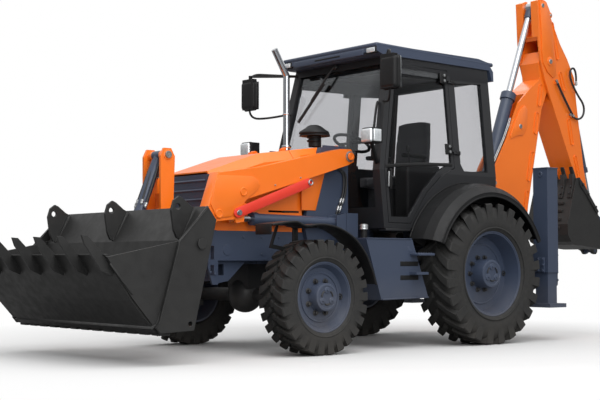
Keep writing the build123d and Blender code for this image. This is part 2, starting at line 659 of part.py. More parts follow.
def door_window():
    """Glass of the door in side view."""
    frame = 40
    return [
        (cab_front(1240) + 62 + frame, 1240), (cab_front(CAB_BELT_Z) + 62 + frame, CAB_BELT_Z),
        (cab_front(DOOR_TOP_Z) + 62 + frame, DOOR_TOP_Z - frame), (DOOR_REAR_Y - frame - 5,
            DOOR_TOP_Z - frame),
        (DOOR_REAR_Y - frame - 5, 1800), (-440, 1700), (-650, 1500), (-800, 1290), (-835, 1240),
    ]


QUARTER = [(-105, 1790), (-105, 2615), (300, 2640), (300, 1720), (-60, 1720)]


def window_prism(outline, side):
    """A prism through one side wall."""
    return slab(outline, side * 600, side * 900)


def shell_layer(outer_inset, inner_inset):
    """A thin layer of the cab's form between two insets."""
    return cab_hull(outer_inset) - cab_hull(inner_inset)


WINDSHIELD_Z = (1330, 2730)
REAR_GLASS_Z = (1750, 2680)


def front_prism():
    """A prism through the front wall."""
    low, high = WINDSHIELD_Z
    outline = [(-690, low), (690, low), (705, CAB_BELT_Z), (610, high), (-610, high), (-705, CAB_BELT_Z)]
    return extrude(Plane(origin=(0, -700, 0), x_dir=(1, 0, 0), z_dir=(0, -1, 0)) * face(outline), 700)


def rear_prism():
    """A prism through the rear wall."""
    low, high = REAR_GLASS_Z
    outline = [(-690, low), (690, low), (610, high), (-610, high)]
    return extrude(Plane(origin=(0, 600, 0), x_dir=(1, 0, 0), z_dir=(0, -1, 0)) * face(outline), 300)


@part("cab_frame")
def cab_frame():
    """Cab shell with its pillars, floor and seat pedestal; windows and door openings are cut."""
    axle = (WHEELS["rear"]["y"], WHEELS["rear"]["radius"])
    arch = bar_x(axle, ARCH_R + 13, 676, 820) & cab_hull(0)
    shell = cab_hull(0) - cab_hull(CAB_WALL) + both(arch) - both(bar_x(axle, ARCH_R, 690, 821))
    shell -= window_prism(door_outline(0), 1) + window_prism(door_outline(0), -1)
    shell -= window_prism(QUARTER, 1) + window_prism(QUARTER, -1)
    shell = shell - front_prism() - rear_prism()
    for z in DOOR_HINGE_Z:
        pin = rod(hinge_at(z - 14), hinge_at(z + 60), 6) + rod(hinge_at(z - 14), hinge_at(z), 12)
        x, y, _ = hinge_at(z)
        pin += box(x - 40, x + 4, y - 2, y + 34, z - 14, z - 2) - cab_hull(CAB_WALL - 5)
        shell += both(pin)
    return shell


@part("cab_glass")
def cab_glass():
    """Windscreen, rear window and both quarter windows."""
    layer = shell_layer(18, 18 + GLASS_T)
    panes = [layer & front_prism(), layer & rear_prism()]
    panes += [layer & window_prism(QUARTER, side) for side in (1, -1)]
    return Compound(children=[solid for pane in panes for solid in pane.solids()])


def door(side):
    """Door frame, with its window cut."""
    panel = shell_layer(0, 32) & window_prism(door_outline(DOOR_GAP), side)
    panel -= window_prism(door_window(), side)
    for z in DOOR_HINGE_Z:
        x, y, _ = hinge_at(z)
        lug = rod(hinge_at(z + SEAT), hinge_at(z + 56), 12)
        lug += box(x - 22, x + 10, y - 40, y - 4, z + 4, z + 52) - cab_hull(5)
        lug -= rod(hinge_at(z - 5), hinge_at(z + 70), 6 + RUN)
        panel += lug if side > 0 else mirror_x(lug)
    return panel


def door_glass(side):
    """Pane of a door."""
    return shell_layer(14, 14 + GLASS_T) & window_prism(door_window(), side)


for side_name, side in (("l", 1), ("r", -1)):
    PARTS[f"door_{side_name}"] = lambda s=side: door(s)
    PARTS[f"door_glass_{side_name}"] = lambda s=side: door_glass(s)


@part("roof")
def roof():
    """Roof cap with an overhang all round and a drooped rear lip."""
    return slab([
        (-1100, CAB_TOP_Z + SEAT), (-1185, CAB_TOP_Z + 30), (-1180, 2898), (270, 2905), (420,
            2880), (500, 2790),
        (505, 2690), (480, 2690), (440, CAB_TOP_Z + SEAT),
    ], -705, 705)


@part("seat_base")
def seat_base():
    """Pedestal that carries the operator's seat."""
    return box(-180, 180, -460, -60, CAB_FLOOR_Z + CAB_WALL + SEAT, 1560)


@part("seat_pads")
def seat_pads():
    """Driver's seat: cushion and high back."""
    cushion = box(-245, 245, -560, -40, 1560 + SEAT, 1700)
    back = slab([(-130, 1700 + SEAT), (10, 1700 + SEAT), (110, 2290), (10, 2290)], -235, 235)
    return cushion + back


@part("dash")
def dash():
    """Front console with the steering column and wheel."""
    console = box(-200, 200, -1120, -960, CAB_FLOOR_Z + CAB_WALL + SEAT, 1760)
    column = rod((0, -1000, 1700), (0, -860, 2010), 32)
    wheel = Pos(0, -860, 2010) * Rot(-24, 0, 0) * Torus(185, 16)
    spoke = Pos(0, -860, 2010) * Rot(-24, 0, 0) * Box(370, 36, 14)
    return console + column + wheel + spoke


@part("rear_fenders")
def rear_fenders():
    """Domed rear mudguards, revolved about the wheel's axis."""
    # outer edge, inner edge: x, radius
    low = ARCH_R - 17
    outer = [
        (700, low), (700, ARCH_R - SEAT), (790, ARCH_R - SEAT), (790, low + 191), (960, low + 181),
        (1060, low + 151), (1125, low + 86), (1125, low + 48),
    ]
    inner = [(1105, low + 48), (1105, low + 78), (1048, low + 131), (955, low + 159), (816, low + 169),
        (816, low)]
    ring = revolve(Plane.XY * face(outer + inner), Axis.X, 134)
    ring = Rot(24, 0, 0) * ring
    guard = Pos(0, 0, WHEELS["rear"]["radius"]) * ring
    skin = cab_hull(-SEAT) - bar_x((0, WHEELS["rear"]["radius"]), ARCH_R, 600, 900)
    return both(guard - skin)


@part("side_tanks")
def side_tanks():
    """Fuel tank and tool box, one each side under the cab, with a step."""
    front = FRONT_Y + FENDER_R + 40
    tank = slab([(front, 1020), (-979, 1020), (-765, 470), (front + 189, 460)], ARM_IN - 10 + SEAT, 965)
    step = box(965, 1060, -1020, -860, 690, 715)
    return both(tank + step)


@part("headlamps")
def headlamps():
    """Headlamps with indicators on brackets from the cab's front corners."""
    body = box(835, 990, -1500, -1390, 1905, 2045)
    bracket = rod((745, -1225, 1750), (880, -1430, 1930), 20)
    return both(body + bracket - cab_hull(-SEAT))


@part("mirrors")
def mirrors():
    """Rear-view mirrors on tube arms from the front pillars."""
    body = box(960, 1130, -1390, -1330, 2410, 2730)
    arm = rod((650, -1020, 2750), (1040, -1360, 2760), 12)
    arm += rod((1040, -1360, 2770), (1040, -1360, 2600), 12)
    return both(body + arm - cab_hull(-SEAT))


# ---- rear frame and backhoe ----------------------------------------------------------------------------
@part("rear_frame")
def rear_frame():
    """Rear frame: stabilizer sleeves, cross beams and the rails of the side shift."""
    sleeve = box(*LEG_X, *LEG_Y, *LEG_Z)
    sleeve -= box(LEG_X[0] + LEG_WALL, LEG_X[1] - LEG_WALL, LEG_Y[0] + LEG_WALL, LEG_Y[1] - LEG_WALL,
                  LEG_Z[0] - 1, LEG_Z[1] - LEG_WALL)
    beams = box(-LEG_X[0], LEG_X[0], 960, 1060, 860, 960) + box(-LEG_X[0], LEG_X[0], 960, 1060, 530, 630)
    back = box(-LEG_X[0], LEG_X[0], FRAME_REAR_Y, 962, 560, 930)
    rails = box(-LEG_X[0] - 60, LEG_X[0] + 60, 1060, RAIL_BACK_Y, 890, 950)
    rails += box(-LEG_X[0] - 60, LEG_X[0] + 60, 1060, RAIL_BACK_Y, 540, 600)
    link = box(LEG_X[0] - 2, LEG_X[0] + 60, 1068, RAIL_BACK_Y, 560, 930)
    return both(sleeve) + beams + back + rails + both(link)


def stabilizer(side):
    """Inner leg with its foot pad."""
    gap = LEG_WALL + SEAT
    leg = box(LEG_X[0] + gap, LEG_X[1] - gap, LEG_Y[0] + gap, LEG_Y[1] - gap, FOOT_Z + 40, LEG_Z[1] - 80)
    pad = box(LEG_X[0] - 60, LEG_X[1] + 60, LEG_Y[0] - 50, LEG_Y[1] + 50, FOOT_Z, FOOT_Z + 41)
    leg += pad
    return leg if side > 0 else mirror_x(leg)


for side_name, side in (("l", 1), ("r", -1)):
    PARTS[f"stabilizer_{side_name}"] = lambda s=side: stabilizer(s)


@part("carriage")
def carriage():
    """Side-shift carriage with the boss of the swing post."""
    y0 = RAIL_BACK_Y + 0.3
    plate = box(-330, 330, y0, y0 + 40, 500, 990)
    for low, high in ((950.3, 990), (500, 539.7)):
        plate += box(-330, 330, 1080, y0 + 40, low, high)
    low, high = CARRIAGE_BOSS_Z
    web = box(-55, 55, y0, SWING_AXIS_Y, low + 12, high - 12)
    boss = rod((0, SWING_AXIS_Y, low), (0, SWING_AXIS_Y, high), BOSS_R)
    return plate + web + boss


@part("swing_post")
def swing_post():
    """Swing post, forked round the carriage's boss, with the ears of the boom's cylinder on its top."""
    back, end = SWING_AXIS_Y + BOSS_R + SWEEP, BOOM_FOOT[0] + 55
    low, high = CARRIAGE_BOSS_Z
    fork_low, fork_high = (low - 60, low - RUN), (high + RUN, high + 60)
    post = box(-95, 95, back, end, fork_low[0], fork_high[1])
    for z0, z1 in (fork_low, fork_high):
        post += box(-95, 95, SWING_AXIS_Y, back + 1, z0, z1)
        post += rod((0, SWING_AXIS_Y, z0), (0, SWING_AXIS_Y, z1), 95)
    ear = slab([
        (BOOM_BASE[0] - 52, BOOM_BASE[1] + 30), (BOOM_BASE[0] + 52, BOOM_BASE[1] + 30),
        (SWING_AXIS_Y + 80, fork_high[1] - 3), (BOOM_BASE[0] - 52, fork_high[1] - 3),
    ], 60 + RUN, 84)
    shelf = box(-84, 84, BOOM_BASE[0] - 52, SWING_AXIS_Y, fork_high[1] - 45, fork_high[1])
    post = post + both(ear) + shelf
    return post - bar_x(BOOM_FOOT, 30 + RUN, -100, 100)


BOOM_OUTLINE = [
    (1330, 1008), (1500, 1008), (1500, 760), (1540, 715), (1630, 715), (1668, 790), (1760, 1447), (2018,
        2572), (2250, 3060), (2262, 3150),
    (2215, 3250), (2120, 3285), (2020, 3255), (1975, 3120), (2000, 2930), (1800, 2790), (1610,
        2620), (1526, 2457),
    (1408, 2203), (1191, 1864), (1140, 1740), (1150, 1600),
]


@part("boom")
def boom():
    """Boom: side plates on a rear web, closed near the head, with the foot pin."""
    body = slab(BOOM_OUTLINE, -BOOM_HALF, BOOM_HALF)
    well = slab([
        (1200, 600), (1720, 600), (1720, 1022), (1632, 1022), (1700, 1447), (1790, 1850), (1820,
            2400), (1810, 2560),
        (1740, 2740), (1640, 2850), (1500, 2850), (1000, 2200), (900, 1500),
    ], -BOOM_HALF + BOOM_WALL, BOOM_HALF - BOOM_WALL)
    body -= well
    pin = bar_x(BOOM_FOOT, 30, -BOOM_HALF, BOOM_HALF)
    wall = BOOM_HALF - BOOM_WALL
    body += both(bar_x(CROWD_BASE, 52, 60 + RUN, wall + 1))
    body += both(bar_x(BOOM_BOSS, 46, 50 + RUN, wall + 1))
    return body + pin + bar_x(BOOM_HEAD, 34, -DIPPER_OUT - 12, DIPPER_OUT + 12)


def hoe_cylinder(name, index):
    """Barrel (0) or rod (1) of a backhoe cylinder."""
    table = {
        # pins, rod outside, rod inside, stroke left to go in, radius of barrel, rod and eye,
        # half width at the base and at the eye
        "boom": (BOOM_BASE, BOOM_BOSS, 180, 520, 20, 58, 30, 48, 60, 50),
        "crowd": (CROWD_BASE, CROWD_EYE, 1130, 80, 900, 72, 38, 60, 60, 60),
        "bucket": (BUCKET_RAM_BASE, LINK_JOINT, 620, 80, 460, 48, 28, 44, 50, 36),
    }
    return cylinder_pair(*table[name])[index]


for ram in ("boom", "crowd", "bucket"):
    PARTS[f"{ram}_barrel"] = lambda r=ram: hoe_cylinder(r, 0)
    PARTS[f"{ram}_rod"] = lambda r=ram: hoe_cylinder(r, 1)

DIPPER_DOWN = ((HINGE[0] - BOOM_HEAD[0]) / span(BOOM_HEAD, HINGE),
    (HINGE[1] - BOOM_HEAD[1]) / span(BOOM_HEAD, HINGE))


def at_tip(down, back):
    """A point near the dipper's tip: down along the dipper, and back from it."""
    return (HINGE[0] + DIPPER_DOWN[0] * down - DIPPER_DOWN[1] * back,
            HINGE[1] + DIPPER_DOWN[1] * down + DIPPER_DOWN[0] * back)


GUIDE_PIN = at_tip(-370, 30)
LINK_JOINT = at_tip(-60, 290)
BUCKET_EAR = at_tip(240, 95)
BUCKET_RAM_BASE = (2688, 2888)


@part("dipper")
def dipper():
    """Dipper: a box that forks round the boom head, with ears for its three cylinders and links."""
    body = slab([
        (1925, 3840), (1990, 3868), (2080, 3850), (2150, 3700), (2344, 3370), (2475, 3206), (2600, 3000),
        (2640, 2700), (2765, 1930), (2965, 1170), (2940, 1095), (2880, 1070), (2835, 1110), (2545, 1930),
        (2160, 2700), (2050, 2930), (1975, 3145), (1945, 3400),
    ], -DIPPER_OUT, DIPPER_OUT)
    body -= bar_x(BOOM_HEAD, HEAD_ROOM, -DIPPER_IN, DIPPER_IN)
    body -= slab([(2133, 3145), (2225, 2870), (2170, 2690), (1800, 2600), (1600, 3000), (1700, 3420),
        (1950, 3420)],
                 -DIPPER_IN, DIPPER_IN)
    body -= bar_x(BOOM_HEAD, 34 + RUN, -DIPPER_OUT - 1, DIPPER_OUT + 1)
    body -= slab([(1850, 3430), (1990, 3430), (2180, 3560), (2180, 3950), (1850, 3950)], -60 - RUN, 60 + RUN)
    body -= both(box(100, DIPPER_OUT + 1, 2400, 3100, 1000, 1660))
    body -= both(slab([(2700, 1300), (3100, 1400), (3100, 1000), (2700, 1000)], 56, 101))
    body -= bar_x(GUIDE_PIN, 24 + RUN, -101, 101)
    ear = slab([(2560, 2960), (2660, 2950), (2730, 2900), (2720, 2840), (2560, 2700)], 50 + RUN, 74)
    return body + both(ear) + bar_x(HINGE, 30, -90, 90)


def bar_link(a, b, radius, x0, x1):
    """A flat link with round ends."""
    turn = atan2(b[1] - a[1], b[0] - a[0])
    off = (-sin(turn) * radius, cos(turn) * radius)
    strip = slab([
        (a[0] + off[0], a[1] + off[1]), (b[0] + off[0], b[1] + off[1]),
        (b[0] - off[0], b[1] - off[1]), (a[0] - off[0], a[1] - off[1]),
    ], x0, x1)
    return strip + bar_x(a, radius, x0, x1) + bar_x(b, radius, x0, x1)


@part("guide_lever")
def guide_lever():
    """Pair of levers from the dipper's tip to the bucket cylinder's eye."""
    plate = bar_link(GUIDE_PIN, LINK_JOINT, 42, 100 + RUN, 122)
    plate += bar_x(LINK_JOINT, 40, 56 + RUN, 102)
    return both(plate) + bar_x(GUIDE_PIN, 24, -122, 122)


@part("bucket_link")
def bucket_link():
    """Pair of links from the cylinder's eye to the bucket."""
    plate = bar_link(LINK_JOINT, BUCKET_EAR, 40, 36 + RUN, 56)
    return both(plate) + bar_x(BUCKET_EAR, 24, -86, 86)


@part("hoe_bucket")
def hoe_bucket():
    """Backhoe bucket with its teeth."""
    outer = [(2440, 1790), (2345, 1500), (2262, 1250), (2270, 1120), (2330, 1045), (2420, 1010), (2700, 985),
             (2975, 962)]
    inner = [(2978, 987), (2700, 1010), (2425, 1035), (2345, 1065), (2295, 1130), (2285, 1245),
             (2368, 1495), (2465, 1780)]
    shell = slab(outer + inner, -HOE_HALF, HOE_HALF)
    cheek = slab(outer + [(3000, 1080), (2830, 1415), (2590, 1700), (2500, 1800)], HOE_HALF - 16, HOE_HALF)
    ear = bar_link(HINGE, BUCKET_EAR, 46, 56 + RUN, 86)
    ear += slab([(2740, 1000), (2855, 1140), (2900, 1180), (3000, 1100), (3060, 930), (2960, 965)],
        56 + RUN, 86)
    ear = ear - bar_x(BUCKET_EAR, 24 + RUN, 50, 90) - bar_x(HINGE, 30 + RUN, 50, 90)
    tooth = slab([(2440, 1760), (2390, 1920), (2405, 1925), (2480, 1770)], -22, 22)
    teeth = [Pos(x, 0, 0) * tooth for x in (-250, -125, 0, 125, 250)]
    return (shell + both(cheek) + both(ear)).fuse(*teeth)


# ---- build ---------------------------------------------------------------------------------------------
shapes = {name: make() for name, make in PARTS.items()}
loose = [Compound(children=list(shape.solids())) for shape in shapes.values()]
whole = Compound(children=loose).bounding_box()
ORIGIN_SHIFT = Vector(-whole.center().X, -whole.center().Y, -whole.min.Z)
for name, shape in shapes.items():
    solids = [solid.moved(Location(ORIGIN_SHIFT)) for solid in shape.solids()]
    export_step(solids[0] if len(solids) == 1 else Compound(children=solids), f"parts/{name}.step")
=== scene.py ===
"""Finishes, fittings and stage of a backhoe loader, laid out as an add-on and run as a script.

Lengths in tables are millimetres. Their y runs from the rear axle, forward is -y, and z is the height above ground.
"""
from math import atan2, cos, hypot, pi, radians, sin

import bmesh
import bpy
from mathutils import Matrix, Vector


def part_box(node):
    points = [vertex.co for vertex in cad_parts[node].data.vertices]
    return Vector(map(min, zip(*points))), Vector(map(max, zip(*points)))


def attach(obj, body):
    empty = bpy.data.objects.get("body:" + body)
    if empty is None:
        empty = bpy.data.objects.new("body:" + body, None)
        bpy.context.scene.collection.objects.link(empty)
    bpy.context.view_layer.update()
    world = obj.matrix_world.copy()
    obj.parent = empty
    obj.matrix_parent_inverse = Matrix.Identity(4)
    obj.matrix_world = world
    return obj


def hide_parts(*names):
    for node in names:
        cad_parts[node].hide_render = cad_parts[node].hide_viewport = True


bl_info = {
    "name": "Backhoe Loader Dressing",
    "version": (1, 0, 0),
    "blender": (4, 5, 0),
    "location": "3D View > Sidebar > Loader",
    "description": "Adds the finishes, fittings and stage of a backhoe loader to its packed frame",
    "category": "Object",
}

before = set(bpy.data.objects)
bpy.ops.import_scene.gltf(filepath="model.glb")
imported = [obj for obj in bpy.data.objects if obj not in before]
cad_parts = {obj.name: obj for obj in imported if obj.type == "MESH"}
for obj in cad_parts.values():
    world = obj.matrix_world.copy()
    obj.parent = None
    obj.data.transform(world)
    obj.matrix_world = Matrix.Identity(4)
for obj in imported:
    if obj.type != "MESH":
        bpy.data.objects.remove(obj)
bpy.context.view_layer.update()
AXLE_LOW, AXLE_HIGH = (Vector(corner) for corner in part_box("rim_rl"))
AXLE_Y = (AXLE_LOW.y + AXLE_HIGH.y) / 2
# radius of the rear tyre
REAR_RADIUS = 694
# mirrors across the machine's middle
ACROSS = Matrix.Scale(-1, 4, (1, 0, 0))
GROUND = (AXLE_LOW.z + AXLE_HIGH.z) / 2 - REAR_RADIUS / 1000


def linear(text):
    """An sRGB hex colour as linear RGBA."""
    parts = [int(text[i:i + 2], 16) / 255 for i in (1, 3, 5)]
    return tuple(c / 12.92 if c <= 0.04045 else ((c + 0.055) / 1.055) ** 2.4 for c in parts) + (1.0,)


def at(x, y, z):
    """A place given in table millimetres, in the frame's metres."""
    return Vector((x / 1000, y / 1000 + AXLE_Y, z / 1000 + GROUND))


# ---- settings ----------------------------------------------------------------------------------------------------
def colour(name, text, description):
    """A colour property with its default."""
    return bpy.props.FloatVectorProperty(name=name, description=description, subtype="COLOR", size=4,
                                         min=0, max=1, default=linear(text))


def length(name, value, description):
    """A length property in metres with its default."""
    return bpy.props.FloatProperty(name=name, description=description, default=value, min=0, unit="LENGTH")


class LoaderColours(bpy.types.PropertyGroup):
    """Colours of the machine's finishes."""

    body: colour("Body enamel", "#FA7A1C", "Hood, lift arms, boom and dipper")
    chassis: colour("Chassis enamel", "#3B4559", "Frame, roof, rims and cylinders")
    bucket: colour("Bucket enamel", "#212121", "Both buckets")
    underbody: colour("Underbody coat", "#202124", "Axles and cab frame")
    strut: colour("Strut enamel", "#EA3C2A", "Safety strut of the lift arm")
    rubber: colour("Tyre rubber", "#2B2B2B", "Tyres and hoses")
    plastic: colour("Moulded plastic", "#161617", "Mudguards, cowl, mirrors and trim")
    cloth: colour("Seat cloth", "#343538", "Cushions of the operator's seat")
    pane: colour("Tinted pane", "#EEEEEF", "Cab windows")
    floor: colour("Studio floor", "#D6D6D6", "Floor under the machine")


class LoaderSizes(bpy.types.PropertyGroup):
    """Sizes of the fittings."""

    hose: length("Hose width", 0.022, "Outside diameter of a hydraulic hose")
    bolt: length("Wheel bolt", 0.034, "Width across flats of a wheel bolt's head")
    seam: length("Seam cord", 0.007, "Diameter of the cord sewn round a cushion")
    camera_lens: bpy.props.FloatProperty(name="Lens", description="Focal length of the camera on a 36 mm sensor",
                                         default=72.88, min=10, max=300)


# ---- modelling helpers -------------------------------------------------------------------------------------------
def begin():
    """Leaves nothing selected, in object mode."""
    if bpy.context.mode != "OBJECT":
        bpy.ops.object.mode_set(mode="OBJECT")
    bpy.ops.object.select_all(action="DESELECT")


def choose(piece):
    """Makes one piece the only selected and the active one."""
    begin()
    piece.select_set(True)
    bpy.context.view_layer.objects.active = piece


def named(name):
    """Names the object that an operator has just made, and applies its place."""
    piece = bpy.context.object
    piece.name = piece.data.name = name
    bpy.ops.object.transform_apply(location=True, rotation=True, scale=True)
    return piece


def pick(piece, test):
    """In edit mode, selects the faces that pass a test of face and middle."""
    bpy.ops.mesh.select_mode(type="FACE")
    bpy.ops.mesh.select_all(action="DESELECT")
    mesh = bmesh.from_edit_mesh(piece.data)
    for face in mesh.faces:
        middle = sum((v.co for v in face.verts), Vector()) / len(face.verts)
        face.select_set(test(face, middle))
    bmesh.update_edit_mesh(piece.data)


def closed(piece, smooth=35):
    """Welds doubles, turns faces outwards and shades by angle."""
    choose(piece)
    bpy.ops.object.mode_set(mode="EDIT")
    bpy.ops.mesh.select_all(action="SELECT")
    bpy.ops.mesh.remove_doubles(threshold=0.00002)
    bpy.ops.mesh.normals_make_consistent(inside=False)
    bpy.ops.object.mode_set(mode="OBJECT")
    bpy.ops.object.shade_smooth_by_angle(angle=radians(smooth))
    return piece


def slab(name, outline, x0, x1, edge=2.5):
    """A plate between two X planes with broken edges: outline points are (y, z)."""
    begin()
    bpy.ops.mesh.primitive_circle_add(vertices=len(outline), fill_type="NGON")
    piece = named(name)
    for vertex, (y, z) in zip(piece.data.vertices, outline):
        vertex.co = at(x0, y, z)
    bpy.ops.object.mode_set(mode="EDIT")
    bpy.ops.mesh.select_all(action="SELECT")
    bpy.ops.mesh.extrude_region_move(TRANSFORM_OT_translate={"value": ((x1 - x0) / 1000, 0, 0)})
    bpy.ops.mesh.select_all(action="SELECT")
    bpy.ops.mesh.normals_make_consistent(inside=False)
    if edge:
        bpy.ops.mesh.bevel(offset=edge / 1000, segments=2, affect="EDGES")
    bpy.ops.object.mode_set(mode="OBJECT")
    return closed(piece)


def block(name, low, high, edge=4, segments=2):
    """A block between two corners with rounded edges."""
    begin()
    a, b = at(*low), at(*high)
    bpy.ops.mesh.primitive_cube_add(size=1, location=(a + b) / 2, scale=b - a)
    piece = named(name)
    bpy.ops.object.mode_set(mode="EDIT")
    bpy.ops.mesh.select_all(action="SELECT")
    bpy.ops.mesh.bevel(offset=edge / 1000, segments=segments, affect="EDGES")
    bpy.ops.object.mode_set(mode="OBJECT")
    return closed(piece)


def turned(name, profile, centre, along=(1, 0, 0), steps=40, smooth=35):
    """A turned piece: profile points are (distance along the axis, radius), as a closed loop."""
    begin()
    bpy.ops.mesh.primitive_circle_add(vertices=len(profile), fill_type="NOTHING")
    piece = named(name)
    axis = Vector(along).normalized()
    side = axis.orthogonal().normalized()
    for vertex, (step, radius) in zip(piece.data.vertices, profile):
        vertex.co = Vector(centre) + axis * (step / 1000) + side * (radius / 1000)
    bpy.ops.object.mode_set(mode="EDIT")
    bpy.ops.mesh.select_all(action="SELECT")
    bpy.ops.mesh.spin(steps=steps, angle=2 * pi, center=centre, axis=axis)
    bpy.ops.object.mode_set(mode="OBJECT")
    return closed(piece, smooth)


def pipe(name, points, width, sides=6):
    """A smooth hose or pipe through the middle of its control points, given in metres."""
    begin()
    line = bpy.data.curves.new(name, "CURVE")
    line.dimensions, line.bevel_depth, line.bevel_resolution, line.resolution_u = "3D", width / 2, sides, 8
    line.use_fill_caps = True
    spline = line.splines.new("NURBS")
    spline.points.add(len(points) - 1)
    for point, place in zip(spline.points, points):
        point.co = (*place, 1)
    spline.order_u = 3
    spline.use_endpoint_u = True
    piece = bpy.data.objects.new(name, line)
    bpy.context.collection.objects.link(piece)
    choose(piece)
    bpy.ops.object.convert(target="MESH")
    return closed(bpy.context.object, 60)


def joined(name, pieces):
    """Several pieces as one object."""
    begin()
    for piece in pieces:
        piece.select_set(True)
    bpy.context.view_layer.objects.active = pieces[0]
    if len(pieces) > 1:
        bpy.ops.object.join()
    piece = bpy.context.object
    piece.name = piece.data.name = name
    return piece


def spread(name, piece, places):
    """Copies a piece to each place, a matrix, each with its own mesh, and joins them."""
    made = []
    for place in places:
        twin = piece.copy()
        twin.data = piece.data.copy()
        bpy.context.collection.objects.link(twin)
        twin.data.transform(place)
        if place.determinant() < 0:
            twin.data.flip_normals()
        made.append(twin)
    bpy.data.objects.remove(piece)
    return joined(name, made)


def opposite(name, piece):
    """The mirror image of a piece as an object of its own."""
    twin = piece.copy()
    twin.data = piece.data.copy()
    bpy.context.collection.objects.link(twin)
    return spread(name, twin, [ACROSS])


def about(centre, axis, angle):
    """A turn about a line."""
    return Matrix.Translation(centre) @ Matrix.Rotation(angle, 4, Vector(axis)) @ Matrix.Translation(-Vector(centre))


def rounded(points, steps=6):
    """A smooth line through points: each span gets steps parts."""
    ends = [points[0]] + list(points) + [points[-1]]
    line = []
    for a, b, c, d in zip(ends, ends[1:], ends[2:], ends[3:]):
        for step in range(steps):
            t = step / steps
            line.append(tuple(0.5 * (2 * q + (r - p) * t + (2 * p - 5 * q + 4 * r - o) * t ** 2
                                     + (3 * q - p - 3 * r + o) * t ** 3) for p, q, r, o in zip(a, b, c, d)))
    return line + [points[-1]]


def sheet(name, line, thick, x0, x1, edge=2.5):
    """A bent sheet between two X planes under a (y, z) line."""
    under = []
    for index, (y, z) in enumerate(line):
        (ya, za), (yb, zb) = line[max(0, index - 1)], line[min(len(line) - 1, index + 1)]
        reach = hypot(yb - ya, zb - za)
        under.append((y + (zb - za) / reach * thick, z - (yb - ya) / reach * thick))
    return slab(name, line + under[::-1], x0, x1, edge)


def bolt(name, centre, along, width, height=0.6):
    """A hexagon head with a washer face and a domed top."""
    begin()
    turn = Vector(along).to_track_quat("Z", "Y").to_euler()
    middle = Vector(centre) + Vector(along).normalized() * width * height / 2
    bpy.ops.mesh.primitive_cylinder_add(vertices=6, radius=width / 2, depth=width * height, location=middle,
                                        rotation=turn)
    piece = named(name)
    bpy.ops.object.mode_set(mode="EDIT")
    out = Vector(along).normalized()
    pick(piece, lambda face, middle: face.normal.dot(out) > 0.9)
    bpy.ops.mesh.inset(thickness=width * 0.09, depth=width * 0.05)
    pick(piece, lambda face, middle: face.normal.dot(out) < -0.9)
    bpy.ops.mesh.inset(thickness=width * 0.01, depth=0)
    bpy.ops.object.mode_set(mode="OBJECT")
    bpy.ops.object.shade_flat()
    return piece


def pin_head(name, centre, along, radius, height=14):
    """The head of a linkage pin with a turned groove and a greaser."""
    r, h = radius, height
    return turned(name, [(0, 0), (0, r), (h * 0.7, r), (h, r - 3), (h, r * 0.45), (h - 3, r * 0.4), (h - 3, 5),
                         (h + 6, 4), (h + 8, 0)], centre, along, steps=28)


def done(piece, finish, body):
    """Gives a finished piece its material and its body."""
    piece.data.materials.clear()
    piece.data.materials.append(material(finish))
    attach(piece, body)
    return piece


def pair(name, piece, finish, body):
    """A piece with its mirror image as one object, given its material and its body."""
    return done(spread(name, piece, [Matrix.Identity(4), ACROSS]), finish, body)


# ---- materials ---------------------------------------------------------------------------------------------------
def add(tree, kind, settings=None, links=None):
    """Adds a node with its settings and links; a key is a property, or a socket's name or number."""
    node = tree.nodes.new(kind)
    for key, value in (settings or {}).items():
        if isinstance(key, str) and key in node.bl_rna.properties and key not in node.inputs:
            setattr(node, key, value)
        else:
            node.inputs[key].default_value = value
    for key, source in (links or {}).items():
        tree.links.new(source, node.inputs[key])
    return node


def shader(name, settings):
    """A new material with its node tree, its principled shader and its object coordinates."""
    made = bpy.data.materials.new(name)
    made.use_nodes = True
    tree = made.node_tree
    surface = tree.nodes["Principled BSDF"]
    for key, value in settings.items():
        surface.inputs[key].default_value = value
    place = add(tree, "ShaderNodeTexCoord").outputs["Object"]
    return made, tree, surface, place


def mottled(tree, surface, place, base, other, scale, amount, detail=4.0):
    """Colour that drifts a little between two tones, in patches of 1 / scale metres."""
    noise = add(tree, "ShaderNodeTexNoise", {"Scale": scale, "Detail": detail, "Roughness": 0.6}, {"Vector": place})
    ramp = add(tree, "ShaderNodeMapRange", {"From Min": 0.35, "From Max": 0.7, "To Min": 0.0, "To Max": amount},
               {"Value": noise.outputs["Fac"]})
    mix = add(tree, "ShaderNodeMix", {"data_type": "RGBA", 6: base, 7: other}, {0: ramp.outputs["Result"]})
    tree.links.new(mix.outputs[2], surface.inputs["Base Color"])
    return mix


def uneven(tree, surface, place, scale, low, high):
    """Roughness that changes over the surface."""
    noise = add(tree, "ShaderNodeTexNoise", {"Scale": scale, "Detail": 5.0}, {"Vector": place})
    span = add(tree, "ShaderNodeMapRange", {"From Min": 0.3, "From Max": 0.7, "To Min": low, "To Max": high},
               {"Value": noise.outputs["Fac"]})
    tree.links.new(span.outputs["Result"], surface.inputs["Roughness"])


def grained(tree, surface, place, scale, distance, strength=0.5, kind="ShaderNodeTexNoise", edge=None):
    """Fine relief of 1 / scale metres, and sharp edges that shade as if rounded to a radius of edge metres."""
    noise = add(tree, kind, {"Scale": scale}, {"Vector": place})
    out = noise.outputs["Fac"] if "Fac" in noise.outputs else noise.outputs[0]
    bump = add(tree, "ShaderNodeBump", {"Strength": strength, "Distance": distance}, {"Height": out})
    if edge:
        soft = add(tree, "ShaderNodeBevel", {"samples": 6, "Radius": edge})
        tree.links.new(soft.outputs["Normal"], bump.inputs["Normal"])
    tree.links.new(bump.outputs["Normal"], surface.inputs["Normal"])


